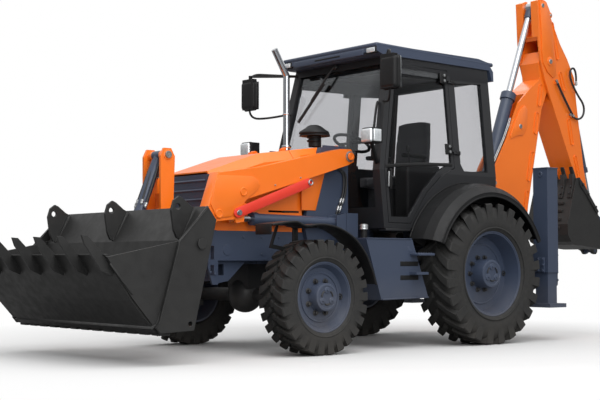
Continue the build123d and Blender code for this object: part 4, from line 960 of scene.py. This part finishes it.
class LOADER_OT_doors(bpy.types.Operator):
    """Grab rails, pull handles, locks and hinge covers of the doors."""

    bl_idname = "loader.doors"
    bl_label = "Doors"

    def execute(self, context):
        rail = leaned(slab("door_rail", [(-1168, 1700), (-700, 1742), (-232, 1760), (-232, 1792), (-700, 1776),
                                         (-1162, 1734)], 776, 806, 5))
        both_doors("door_rail", rail, "moulded plastic")
        grip = [leaned(block("door_grip", (804, -1142, 1520), (822, -1122, 1668), 7, 3))]
        for z in (1530, 1645):
            grip.append(leaned(block("door_grip_foot", (792, -1140, z), (808, -1124, z + 14), 3, 2)))
        both_doors("door_grip", joined("door_grip", grip), "machined steel")
        latch = leaned(block("door_lock", (790, -1100, 1500), (806, -1076, 1690), 5, 3))
        both_doors("door_lock", latch, "moulded plastic")
        for tag, z in (("low", 1900), ("high", 2620)):
            leaf = leaned(block("hinge_leaf", (796, -318, z - 26), (816, -222, z + 84), 8, 3))
            screws = [bolt("hinge_screw", at(side_x(z + dz) + 15, -268, z + dz), (1, 0, 0), 0.03, 0.5)
                      for dz in (2, 56)]
            both_doors(f"hinge_leaf_{tag}", leaf, "moulded plastic")
            both_doors(f"hinge_screws_{tag}", joined("hinge_screws", screws), "machined steel")
            root = leaned(block("hinge_root", (796, -166, z - 22), (816, -104, z + 20), 7, 3))
            pair(f"hinge_root_{tag}", root, "moulded plastic", "chassis")
        return {"FINISHED"}


class LOADER_OT_cab(bpy.types.Operator):
    """Headers, dark glass bands, wiper, grab rails and floor edges of the cab."""

    bl_idname = "loader.cab"
    bl_label = "Cab"

    def execute(self, context):
        band = slab("roof_band", [(-990, 2742), (-960, 2790), (410, 2790), (410, 2660), (-232, 2640), (-1008, 2640)],
                    694, 701, 1.5)
        pair("roof_bands", leaned(band, 696), "tinted pane", "chassis")
        header = leaned(slab("window_header", [(-975, 2615), (-905, 2790), (400, 2790), (400, 2640), (-232, 2628)],
                             742, 764, 3))
        pair("window_headers", header, "moulded plastic", "chassis")
        front = slab("front_header", [(-990, 2650), (-968, 2790), (-950, 2790), (-972, 2650)], -620, 620, 3)
        done(front, "moulded plastic", "chassis")
        # x, distance before the glass, z
        arm = [at(x, front_y(z) - gap, z) for x, gap, z in ((-60, 26, 2775), (-150, 40, 2670), (-330, 30, 2450))]
        wiper = [pipe("wiper_arm", arm, 0.022)]
        blade = [at(x, front_y(z) - 16, z) for x, z in ((-190, 2620), (-330, 2450), (-500, 2245))]
        wiper.append(pipe("wiper_blade", blade, 0.032))
        wiper.append(turned("wiper_hub", [(-12, 0), (-12, 30), (10, 30), (20, 22), (20, 0)],
                            at(-60, front_y(2775) - 8, 2775), (0, -1, 0.2), steps=24))
        done(joined("wiper", wiper), "hose rubber", "chassis")
        for side, tag in ((1, "l"), (-1, "r")):
            points = [at(side * 690, front_y(1790) - 14, 1790), at(side * 706, front_y(1830) - 44, 1830),
                      at(side * 668, front_y(2300) - 44, 2300), at(side * 650, front_y(2340) - 12, 2345)]
            done(pipe(f"grab_rail_{tag}", points, 0.024), "moulded plastic", "chassis")
        sill = block("floor_edge", (690, -1150, 1104), (790, -820, 1128), 5, 2)
        pair("floor_edges", sill, "underbody coat", "chassis")
        return {"FINISHED"}


class LOADER_OT_roof(bpy.types.Operator):
    """Crowned roof cap, front panel with a dark strip painted as the shade in its slot, and work lamps."""

    bl_idname = "loader.roof"
    bl_label = "Roof"

    def execute(self, context):
        cap = block("roof_cap", (-706, -1188, 2872), (706, 506, 2912), 17, 4)
        for vertex in cap.data.vertices:
            x, y, z = (vertex.co - at(0, 0, 0)) * 1000
            if z > 2890:
                vertex.co.z += 0.010 * (1 - (x / 706) ** 2)
            if y > 260:
                vertex.co.z -= (y - 260) / 246 * 0.030
        done(cap, "chassis enamel", "chassis")
        panel = block("roof_front", (-520, -1192, 2806), (520, -1176, 2866), 7, 3)
        done(panel, "chassis enamel", "chassis")
        # a dark plastic strip stands in for the shade inside the front panel's slot: painted shade
        slot = block("roof_slot", (-190, -1196, 2830), (190, -1188, 2846), 4, 3)
        done(slot, "moulded plastic", "chassis")
        shells, lenses = [], []
        for x in (-630, 630):
            shells.append(block("work_lamp", (x - 72, -1192, 2808), (x + 72, -1160, 2872), 9, 3))
            lenses.append(block("work_lens", (x - 56, -1200, 2818), (x + 56, -1186, 2864), 6, 3))
        done(joined("work_lamps", shells), "moulded plastic", "chassis")
        done(joined("work_lenses", lenses), "lamp lens", "chassis")
        return {"FINISHED"}


def pillow(name, low, high, crown, channels, axis):
    """A crowned cushion: a cube subdivided, swollen in the middle and pinched at its sewn channels."""
    begin()
    a, b = at(*low), at(*high)
    bpy.ops.mesh.primitive_cube_add(size=1, location=(a + b) / 2, scale=b - a)
    piece = named(name)
    bpy.ops.object.mode_set(mode="EDIT")
    bpy.ops.mesh.select_all(action="SELECT")
    bpy.ops.mesh.subdivide(number_cuts=23)
    bpy.ops.object.mode_set(mode="OBJECT")
    middle, half = (a + b) / 2, (b - a) / 2
    for vertex in piece.data.vertices:
        t = [(vertex.co[i] - middle[i]) / half[i] for i in range(3)]
        swell = [1 - abs(value) ** 4 for value in t]
        full = [swell[(i + 1) % 3] * swell[(i + 2) % 3] for i in range(3)]
        for i in range(3):
            shrink = crown / 1000 * (1 - full[i])
            vertex.co[i] -= shrink * t[i]
        for place in channels:
            away = (t[axis] - place) / 0.05
            if abs(away) < 1:
                pinch = (1 - away * away) * 0.008
                for i in range(3):
                    if i != axis and abs(t[i]) > 0.9:
                        vertex.co[i] -= pinch * (1 if t[i] > 0 else -1)
    return closed(piece, 80)


class LOADER_OT_seat(bpy.types.Operator):
    """Operator's seat with crowned, channelled cushions, armrests and seams."""

    bl_idname = "loader.seat"
    bl_label = "Seat"

    def execute(self, context):
        seam = context.scene.loader_sizes.seam
        cushion = pillow("seat_cushion", (-243, -556, 1564), (243, -44, 1698), 22, (-0.5, 0.5), 0)
        done(cushion, "seat cloth", "chassis")
        back = pillow("seat_back", (-232, -62, 1704), (232, 52, 2286), 20, (-0.55, -0.05, 0.45), 2)
        for vertex in back.data.vertices:
            height = (vertex.co.z - GROUND) * 1000 - 1704
            vertex.co.y += height / 582 * 0.055
            vertex.co.x *= 1 - 0.16 * max(0.0, height / 582 - 0.55)
        done(back, "seat cloth", "chassis")
        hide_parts("seat_pads")
        corners = [(-222, -536), (222, -536), (222, -64), (-222, -64), (-222, -536), (222, -536)]
        cord = pipe("seat_seam", [at(x, y, 1682) for x, y in corners], seam)
        done(cord, "seat cloth", "chassis")
        for side, tag in ((1, "l"), (-1, "r")):
            rest = block(f"armrest_{tag}", (side * 262 - 30, -400, 1880), (side * 262 + 30, -60, 1925), 18, 4)
            stay = block(f"armrest_stay_{tag}", (side * 250 - 9, -90, 1700), (side * 250 + 9, -50, 1890), 6, 2)
            done(joined(f"armrest_{tag}", [rest, stay]), "moulded plastic", "chassis")
            box = block(f"side_console_{tag}", (side * 400 - 95, -560, 1178), (side * 400 + 95, -80, 1790), 30, 4)
            done(box, "moulded plastic", "chassis")
            lever = pipe(f"lever_{tag}", [at(side * 400, -430, 1785), at(side * 400, -440, 1850),
                                          at(side * 392, -450, 1930)], 0.014)
            knob = turned(f"knob_{tag}", [(-30, 0), (-30, 12), (-10, 20), (20, 24), (36, 16), (40, 0)],
                          at(side * 392, -450, 1945), (0, 0, 1), steps=24)
            done(joined(f"lever_{tag}", [lever, knob]), "moulded plastic", "chassis")
        return {"FINISHED"}


class LOADER_OT_lamps(bpy.types.Operator):
    """Headlamp shells and lenses, indicators, and mirrors on their arms."""

    bl_idname = "loader.lamps"
    bl_label = "Lamps and mirrors"

    def execute(self, context):
        rim = block("lamp_rim", (832, -1514, 1900), (994, -1472, 2050), 20, 5)
        shell = block("lamp_shell", (838, -1490, 1908), (986, -1384, 2042), 40, 6)
        pair("lamp_shells", joined("lamp_shell", [rim, shell]), "moulded plastic", "chassis")
        lens = block("lamp_lens", (842, -1532, 1911), (984, -1490, 2039), 20, 5)
        for vertex in lens.data.vertices:
            x, y, z = (vertex.co - at(913, -1500, 1975)) * 1000
            if y < 0:
                vertex.co.y -= 0.012 * max(0, 1 - (x / 71) ** 2) * max(0, 1 - (z / 64) ** 2)
        pair("lamp_lenses", lens, "lamp lens", "chassis")
        lamp = block("indicator", (984, -1508, 1918), (1004, -1412, 2032), 9, 3)
        pair("indicators", lamp, "lamp lens", "chassis")
        house = block("mirror_house", (938, -1398, 2396), (1174, -1312, 2722), 40, 7)
        for vertex in house.data.vertices:
            x, y, z = (vertex.co - at(1052, -1312, 2560)) * 1000
            if y < -30:
                vertex.co.x -= x / 1000 * 0.14
                vertex.co.z -= z / 1000 * 0.08
        pair("mirror_houses", house, "moulded plastic", "chassis")
        glass = block("mirror_pane", (948, -1314, 2412), (1156, -1307, 2706), 3, 2)
        pair("mirror_panes", glass, "mirror glass", "chassis")
        for side, tag in ((1, "l"), (-1, "r")):
            loop = [at(side * 655, -1030, 2752), at(side * 860, -1190, 2770), at(side * 1052, -1352, 2790),
                    at(side * 1054, -1352, 2700)]
            done(pipe(f"mirror_arm_{tag}", loop, 0.024), "moulded plastic", "chassis")
            low = [at(side * 1054, -1352, 2420), at(side * 1050, -1352, 2320), at(side * 900, -1240, 2310),
                   at(side * 722, front_y(2330) - 6, 2345)]
            done(pipe(f"mirror_stay_{tag}", low, 0.022), "moulded plastic", "chassis")
        return {"FINISHED"}


# ---- sides -------------------------------------------------------------------------------------------------------
class LOADER_OT_sides(bpy.types.Operator):
    """Steps, ladder recess hollows as painted shade, filler neck, side hoses and frame bolts."""

    bl_idname = "loader.sides"
    bl_label = "Steps and tanks"

    def execute(self, context):
        tread = block("tread", (955, -1012, 868), (1080, -790, 892), 6, 2)
        stud = turned("tread_stud", [(0, 0), (0, 9), (5, 7), (5, 4), (2, 3), (2, 0)], at(985, -985, 891), (0, 0, 1),
                      steps=12)
        places = [Matrix.Translation((x * 0.034, y * 0.034, 0)) for x in range(3) for y in range(6)]
        studs = spread("tread_studs", stud, places)
        brace = slab("tread_brace", [(-1060, 950), (-1012, 880), (-930, 880), (-1030, 955)], 955, 966, 2)
        pair("treads", joined("tread", [tread, studs, brace]), "chassis enamel", "chassis")
        # dark plastic blocks stand in for the shade inside the ladder's recess hollows: painted shade
        recess_shades = [block("recess", (961, -1140, z), (968, -900, z + 44), 3, 2) for z in (770, 640)]
        pair("ladder_recesses", joined("recess", recess_shades), "moulded plastic", "chassis")
        lip = slab("tank_lip", [(-1560, 1020), (-990, 1020), (-990, 1030), (-1560, 1030)], 800, 972, 3)
        pair("tank_lips", lip, "chassis enamel", "chassis")
        foot = slab("tank_foot", [(-1384, 458), (-780, 468), (-776, 482), (-1386, 472)], 800, 985, 3)
        pair("tank_feet", foot, "chassis enamel", "chassis")
        neck = turned("filler_neck", [(0, 0), (0, 30), (90, 30), (90, 0)], at(850, -1497, 1018), (0, 0, 1), steps=28)
        done(neck, "moulded plastic", "chassis")
        cap = turned("filler_cap", [(0, 0), (0, 38), (6, 41), (14, 37), (20, 41), (28, 37), (34, 41), (46, 38),
                                    (54, 28), (56, 0)], at(850, -1497, 1106), (0, 0, 1), steps=36)
        done(cap, "machined steel", "chassis")
        width = context.scene.loader_sizes.hose
        hoses, ends = [], []
        for shift in (0, 30):
            route = [at(404, -1475 + shift, 1712), at(414, -1433 + shift, 1695), at(423, -1362 + shift, 1660),
                     at(423, -1352 + shift, 1560), at(423, -1372 + shift, 1440), at(423, -1434 + shift, 1315),
                     at(416, -1462 + shift, 1225), at(404, -1474 + shift, 1180)]
            hoses.append(pipe("tower_hose", route, width))
            for y, z in ((-1405, 1375), (-1440, 1300)):
                ends.append(fitting("tower_union", at(423, y + shift, z), (0, 0.4, 1), width))
        done(joined("tower_hoses", hoses), "hose rubber", "chassis")
        done(joined("tower_unions", ends), "machined steel", "chassis")
        bolts = [bolt("frame_bolt", at(411, y, z), (1, 0, 0), 0.026, 0.3)
                 for y, z in ((-2925, 720), (-2870, 700), (-2560, 1030), (-2350, 1030), (-2150, 1030), (-2350, 880))]
        pair("frame_bolts", joined("frame_bolts", bolts), "chassis enamel", "chassis")
        return {"FINISHED"}


# ---- backhoe -----------------------------------------------------------------------------------------------------
def groove(name, a, b, wide, face):
    """A pressed slot with a raised rim and a sunk floor, between two (y, z) points."""
    turn = atan2(b[1] - a[1], b[0] - a[0])
    outline = []
    for (y, z), start in ((b, turn - pi / 2), (a, turn + pi / 2)):
        for step in range(9):
            angle = start + pi * step / 8
            outline.append((y + wide * cos(angle), z + wide * sin(angle)))
    piece = slab(name, outline, face - 1, face + 11, 0)
    bpy.ops.object.mode_set(mode="EDIT")
    pick(piece, lambda polygon, middle: abs(polygon.normal.x) > 0.9 and middle.x > (face + 10) / 1000)
    bpy.ops.mesh.inset(thickness=0.004, depth=0.001)
    bpy.ops.mesh.inset(thickness=0.003, depth=-0.0105)
    bpy.ops.object.mode_set(mode="OBJECT")
    return closed(piece, 25)


# name, body, face x, [start, end] of each slot, half width
SLOTS = [
    ("boom", 130, [((2008, 2845), (1972, 2640), 30), ((1932, 2510), (1900, 2310), 30),
                   ((1838, 2050), (1772, 1760), 30), ((1742, 1600), (1700, 1380), 26)]),
    ("dipper", 160, [((2186, 3590), (2285, 3210), 28), ((2335, 3020), (2398, 2850), 26),
                     ((2486, 2480), (2545, 2220), 26), ((2600, 2050), (2680, 1780), 24)]),
]
CRESCENT = [(1700, 2600), (1752, 2560), (1752, 2440), (1728, 2330), (1672, 2258), (1560, 2240), (1452, 2200),
            (1450, 2235), (1500, 2330), (1560, 2440), (1620, 2540)]
DIPPER_PLATE = [(1960, 3835), (2080, 3838), (2140, 3740), (2200, 3420), (2235, 3180), (2245, 3000), (2190, 2960),
                (2090, 3020), (2010, 3120), (1990, 3260), (1990, 3420)]
# body, face x, y, z, radius of the pin heads
HOE_PINS = [("boom", 172, 2133, 3145, 40), ("dipper", 160, 2012, 3790, 36), ("dipper", 160, 2156, 3694, 22),
            ("boom", 130, 1628, 2352, 38), ("boom", 130, 1180, 1690, 34), ("dipper", 74, 2688, 2888, 30)]


# pins of the crowd cylinder, and in metres the distance of the barrel's open end from its pin
CROWD_BASE, CROWD_EYE = (0, 1180, 1690), (0, 2012, 3790)
CROWD_MOUTH = 1.129


class LOADER_OT_backhoe(bpy.types.Operator):
    """Pressed slots, doublers, pins, hoses and the crowd cylinder's gland on the boom and dipper."""

    bl_idname = "loader.backhoe"
    bl_label = "Boom and dipper"

    def execute(self, context):
        for body, face, slots in SLOTS:
            made = [groove(f"{body}_slot_{i}", a, b, wide, face) for i, (a, b, wide) in enumerate(slots)]
            pair(f"{body}_slots", joined("slots", made), "body enamel", body)
        plate = slab("boom_crescent", CRESCENT, 129, 142, 2)
        pair("boom_crescents", plate, "body enamel", "boom")
        plate = slab("dipper_doubler", DIPPER_PLATE, 159, 173, 2)
        pair("dipper_doublers", plate, "body enamel", "dipper")
        for index, (body, face, y, z, r) in enumerate(HOE_PINS):
            head = pin_head(f"hoe_pin_{index}", at(face + 4, y, z), (1, 0, 0), r * 0.7)
            ring = turned(f"hoe_ring_{index}", [(-5, r * 0.6), (-5, r + 14), (6, r + 12), (10, r + 4), (10, r * 0.6)],
                          at(face, y, z), steps=36)
            pair(f"hoe_pins_{index}", head, "machined steel", body)
            pair(f"hoe_rings_{index}", ring, "body enamel", body)
        width = context.scene.loader_sizes.hose
        straight = [at(186, 2250, 2904), at(190, 2320, 2800), at(190, 2460, 2620), at(186, 2526, 2554)]
        loop = [at(180, 2520, 2540), at(190, 2600, 2490), at(200, 2720, 2540), at(205, 2735, 2680),
                at(200, 2600, 2800), at(192, 2490, 2960), at(190, 2480, 3080), at(188, 2560, 3120),
                at(186, 2610, 3040), at(180, 2612, 2950)]
        hoses = [pipe("dipper_hose_0", straight, width * 1.2), pipe("dipper_hose_1", loop, width * 1.1)]
        ends = [fitting("dipper_end", end, end - last, width) for route in (straight, loop)
                for end, last in ((route[0], route[1]), (route[-1], route[-2]))]
        lugs = [block("hose_lug", (158, 2226, 2890), (180, 2274, 2930), 6, 2),
                block("hose_lug", (158, 2500, 2520), (180, 2552, 2566), 6, 2)]
        done(joined("dipper_hoses", hoses), "hose rubber", "dipper")
        done(joined("dipper_ends", ends), "machined steel", "dipper")
        done(joined("hose_lugs", lugs), "body enamel", "dipper")
        pipes = []
        for x in (104, 84):
            pipes.append(pipe("boom_pipe", [at(x, 1128, 1640), at(x, 1128, 1800), at(x, 1300, 2070), at(x, 1420, 2260),
                                            at(x, 1500, 2440)], width * 0.55))
        done(joined("boom_pipes", pipes), "machined steel", "boom")
        base, eye = at(*CROWD_BASE), at(*CROWD_EYE)
        along = (eye - base).normalized()
        gland = [turned("crowd_gland", [(-88, 70), (-88, 84), (-84, 88), (-8, 88), (-4, 84), (-4, 46), (4, 42),
                                        (4, 37), (-88, 37)], base + along * CROWD_MOUTH, along, steps=40)]
        for index in range(6):
            out = Vector((cos(pi * index / 3), 0, sin(pi * index / 3)))
            out = (out - along * out.dot(along)).normalized()
            gland.append(bolt("gland_bolt", base + along * (CROWD_MOUTH - 0.005) + out * 0.066, along, 0.02, 0.5))
        done(joined("crowd_gland", gland), "chassis enamel", "crowd_barrel")
        collar = turned("crowd_eye_collar", [(-150, 39), (-150, 46), (-146, 50), (-70, 54), (-50, 54), (-50, 39)],
                        eye, along, steps=36)
        done(collar, "chassis enamel", "crowd_rod")
        return {"FINISHED"}


class LOADER_OT_hoe_bucket(bpy.types.Operator):
    """Tooth adapters, wear strips, side cutters and bolts of the backhoe bucket."""

    bl_idname = "loader.hoe_bucket"
    bl_label = "Backhoe bucket"

    def execute(self, context):
        adapters, screws = [], []
        for x in (-250, -125, 0, 125, 250):
            adapters.append(slab("adapter", [(2395, 1700), (2350, 1560), (2362, 1556), (2430, 1700), (2460, 1790),
                                             (2418, 1840), (2396, 1838)], x - 30, x + 30, 5))
            for y, z in ((2366, 1612), (2392, 1690)):
                screws.append(bolt("adapter_bolt", at(x, y, z), (0, -0.95, 0.31), 0.028, 0.5))
        done(joined("tooth_adapters", adapters), "bucket enamel", "hoe_bucket")
        done(joined("adapter_bolts", screws), "underbody coat", "hoe_bucket")
        strips = []
        for z in (1190, 1290, 1390, 1480):
            y = 2262 + (z - 1250) * 0.332 if z > 1250 else 2262 + (1250 - z) * 0.06
            strips.append(block("wear_strip", (-190, y - 12, z), (190, y + 10, z + 34), 5, 2))
        done(joined("wear_strips", strips), "bucket enamel", "hoe_bucket")
        cutter = slab("side_cutter", [(2560, 1732), (2620, 1668), (2850, 1410), (2820, 1380), (2590, 1620),
                                      (2500, 1700), (2480, 1800)], 299, 312, 3)
        holes = [bolt("cutter_bolt", at(311, y, z), (1, 0, 0), 0.034, 0.5)
                 for y, z in ((2540, 1720), (2640, 1610), (2780, 1460))]
        pair("side_cutters", joined("side_cutter", [cutter] + holes), "bucket enamel", "hoe_bucket")
        return {"FINISHED"}


class LOADER_OT_legs(bpy.types.Operator):
    """Bolt plates, guides and bolts of the stabilizers and the side-shift frame."""

    bl_idname = "loader.legs"
    bl_label = "Stabilizers"

    def execute(self, context):
        plate = [block("guide_plate", (950, 888, 700), (1040, 901, 860), 5, 2)]
        for x in (966, 1024):
            for z in (722, 780, 838):
                plate.append(bolt("guide_bolt", at(x, 889, z), (0, -1, 0), 0.024))
        plate.append(turned("leg_eye", [(-4, 14), (-4, 30), (6, 30), (9, 26), (9, 14)], at(990, 900, 1722),
                            (0, -1, 0), steps=28))
        pair("guide_plates", joined("guide_plate", plate), "chassis enamel", "chassis")
        clamp = [slab("clamp", [(1100, 560), (1172, 560), (1180, 580), (1180, 925), (1172, 940), (1100, 940),
                                (1100, 800), (1130, 790), (1130, 700), (1100, 690)], 968, 990, 4)]
        for y, z in ((1120, 915), (1158, 880), (1158, 620), (1120, 590), (1155, 790), (1155, 700)):
            clamp.append(bolt("clamp_bolt", at(989, y, z), (1, 0, 0), 0.028))
        pair("clamps", joined("clamp", clamp), "chassis enamel", "chassis")
        cap = block("leg_cap", (890, 894, 1780), (1085, 1076, 1794), 5, 2)
        pair("leg_caps", cap, "chassis enamel", "chassis")
        return {"FINISHED"}


# ---- stage -------------------------------------------------------------------------------------------------------
# place of the camera, with z above the floor
CAMERA_PLACE = (9008, -9198, 804)
CAMERA_TURN, CAMERA_PITCH = radians(49.66), radians(2.95)
# name, place, size in metres and power in watts; all aim at LIGHT_AIM
LIGHTS = (("key", (5, -3, 9), 7, 420), ("fill", (11, -6, 4), 7, 520), ("rear", (-5, 8, 7), 7, 160))
LIGHT_AIM = (0, 0, 1)
# metres: radius of the floor, width of its outer ring, and where its fade to white starts and ends
FLOOR_RADIUS, FLOOR_RING, FADE = 60, 40, (3.0, 5.6)
# strength of the surroundings' light from the horizon and from straight above
SKY_LOW, SKY_HIGH = 0.14, 1.45


class LOADER_OT_stage(bpy.types.Operator):
    """Floor, soft studio light, white surroundings and camera."""

    bl_idname = "loader.stage"
    bl_label = "Stage"

    def execute(self, context):
        scene = context.scene
        scene.view_settings.view_transform = "Standard"
        begin()
        bpy.ops.mesh.primitive_circle_add(vertices=64, radius=FLOOR_RADIUS, fill_type="NGON", location=(0, 0, 0))
        floor = named("studio_floor")
        bpy.ops.object.mode_set(mode="EDIT")
        bpy.ops.mesh.select_all(action="SELECT")
        bpy.ops.mesh.inset(thickness=FLOOR_RING)
        bpy.ops.object.mode_set(mode="OBJECT")
        floor.data.materials.append(self.floor_material())
        self.surroundings(scene)
        for name, place, size, power in LIGHTS:
            lamp = bpy.data.lights.new(f"{name}_light", "AREA")
            lamp.size, lamp.energy = size, power
            item = bpy.data.objects.new(f"{name}_light", lamp)
            scene.collection.objects.link(item)
            item.location = place
            item.rotation_euler = (Vector(place) - Vector(LIGHT_AIM)).to_track_quat("Z", "Y").to_euler()
        self.camera(scene)
        return {"FINISHED"}

    def floor_material(self):
        """Matte studio paper that fades to plain white away from the machine and throws little light back."""
        made, tree, surface, place = shader("Studio_Paper", {"Roughness": 0.95, "Specular IOR Level": 0.0})
        paper = mottled(tree, surface, place, chosen("floor"), linear("#D2D2D2"), 0.5,
                        0.5)
        path = add(tree, "ShaderNodeLightPath")
        dim = add(tree, "ShaderNodeMix", {"data_type": "RGBA", 6: linear("#8C8C8C")},
                  {0: path.outputs["Is Camera Ray"], 7: paper.outputs[2]})
        tree.links.new(dim.outputs[2], surface.inputs["Base Color"])
        far = add(tree, "ShaderNodeVectorMath", {"operation": "LENGTH"}, {0: place})
        fade = add(tree, "ShaderNodeMapRange", {"From Min": FADE[0], "From Max": FADE[1]},
                   {"Value": far.outputs["Value"]})
        seen = add(tree, "ShaderNodeMath", {"operation": "MULTIPLY"},
                   {0: fade.outputs["Result"], 1: path.outputs["Is Camera Ray"]})
        white = add(tree, "ShaderNodeEmission", {"Color": (1, 1, 1, 1), "Strength": 1.0})
        mix = add(tree, "ShaderNodeMixShader", {}, {0: seen.outputs["Value"], 1: surface.outputs["BSDF"],
                                                    2: white.outputs["Emission"]})
        tree.links.new(mix.outputs["Shader"], tree.nodes["Material Output"].inputs["Surface"])
        return made

    def surroundings(self, scene):
        """White to the camera, and elsewhere a soft light that comes mostly from above."""
        world = bpy.data.worlds.new("studio")
        scene.world = world
        world.use_nodes = True
        tree = world.node_tree
        ground = tree.nodes["Background"]
        ground.inputs["Color"].default_value = (1, 1, 1, 1)
        way = add(tree, "ShaderNodeSeparateXYZ", {}, {0: add(tree, "ShaderNodeTexCoord").outputs["Generated"]})
        glow = add(tree, "ShaderNodeMapRange", {"From Min": 0.0, "From Max": 1.0, "To Min": SKY_LOW,
                                                "To Max": SKY_HIGH}, {"Value": way.outputs["Z"]})
        tree.links.new(glow.outputs["Result"], ground.inputs["Strength"])
        path = add(tree, "ShaderNodeLightPath")
        bright = add(tree, "ShaderNodeMath", {"operation": "MAXIMUM"},
                     {0: path.outputs["Is Camera Ray"], 1: path.outputs["Is Transmission Ray"]})
        white = add(tree, "ShaderNodeBackground", {"Color": (1, 1, 1, 1), "Strength": 1.0})
        mix = add(tree, "ShaderNodeMixShader", {}, {0: bright.outputs["Value"], 1: ground.outputs["Background"],
                                                    2: white.outputs["Background"]})
        tree.links.new(mix.outputs["Shader"], tree.nodes["World Output"].inputs["Surface"])

    def camera(self, scene):
        """Eye-level camera off the machine's front left corner, pitched up a little."""
        turn, pitch = CAMERA_TURN, CAMERA_PITCH
        look = Vector((-sin(turn) * cos(pitch), cos(turn) * cos(pitch), sin(pitch)))
        right = Vector((cos(turn), sin(turn), 0))
        upward = right.cross(look)
        data = bpy.data.cameras.new("camera")
        data.lens, data.sensor_width = scene.loader_sizes.camera_lens, 36
        camera = bpy.data.objects.new("camera", data)
        scene.collection.objects.link(camera)
        turned_to = Matrix((right, upward, -look)).transposed().to_4x4()
        camera.matrix_world = Matrix.Translation(at(*CAMERA_PLACE) - Vector((0, 0, GROUND))) @ turned_to
        scene.camera = camera


PIECES = [LOADER_OT_stage, LOADER_OT_finishes, LOADER_OT_wheels, LOADER_OT_mudguards, LOADER_OT_lift_arms,
          LOADER_OT_mast, LOADER_OT_bucket, LOADER_OT_hood, LOADER_OT_doors, LOADER_OT_cab, LOADER_OT_roof,
          LOADER_OT_seat, LOADER_OT_lamps, LOADER_OT_sides, LOADER_OT_backhoe, LOADER_OT_hoe_bucket, LOADER_OT_legs]


class LOADER_PT_dressing(bpy.types.Panel):
    """Lists the operators that dress the loader."""

    bl_idname = "LOADER_PT_dressing"
    bl_label = "Backhoe Loader"
    bl_space_type = "VIEW_3D"
    bl_region_type = "UI"
    bl_category = "Loader"

    def draw(self, context):
        for group in (context.scene.loader_colours, context.scene.loader_sizes):
            for name in group.bl_rna.properties.keys():
                if name not in ("name", "rna_type"):
                    self.layout.prop(group, name)
        for piece in PIECES:
            self.layout.operator(piece.bl_idname)


REGISTERED = (LoaderColours, LoaderSizes, *PIECES, LOADER_PT_dressing)


def register():
    for item in REGISTERED:
        bpy.utils.register_class(item)
    bpy.types.Scene.loader_colours = bpy.props.PointerProperty(type=LoaderColours)
    bpy.types.Scene.loader_sizes = bpy.props.PointerProperty(type=LoaderSizes)


def unregister():
    del bpy.types.Scene.loader_sizes
    del bpy.types.Scene.loader_colours
    for item in reversed(REGISTERED):
        bpy.utils.unregister_class(item)


def main():
    register()
    for piece in PIECES:
        group, name = piece.bl_idname.split(".")
        getattr(getattr(bpy.ops, group), name)()


if __name__ == "__main__":
    main()
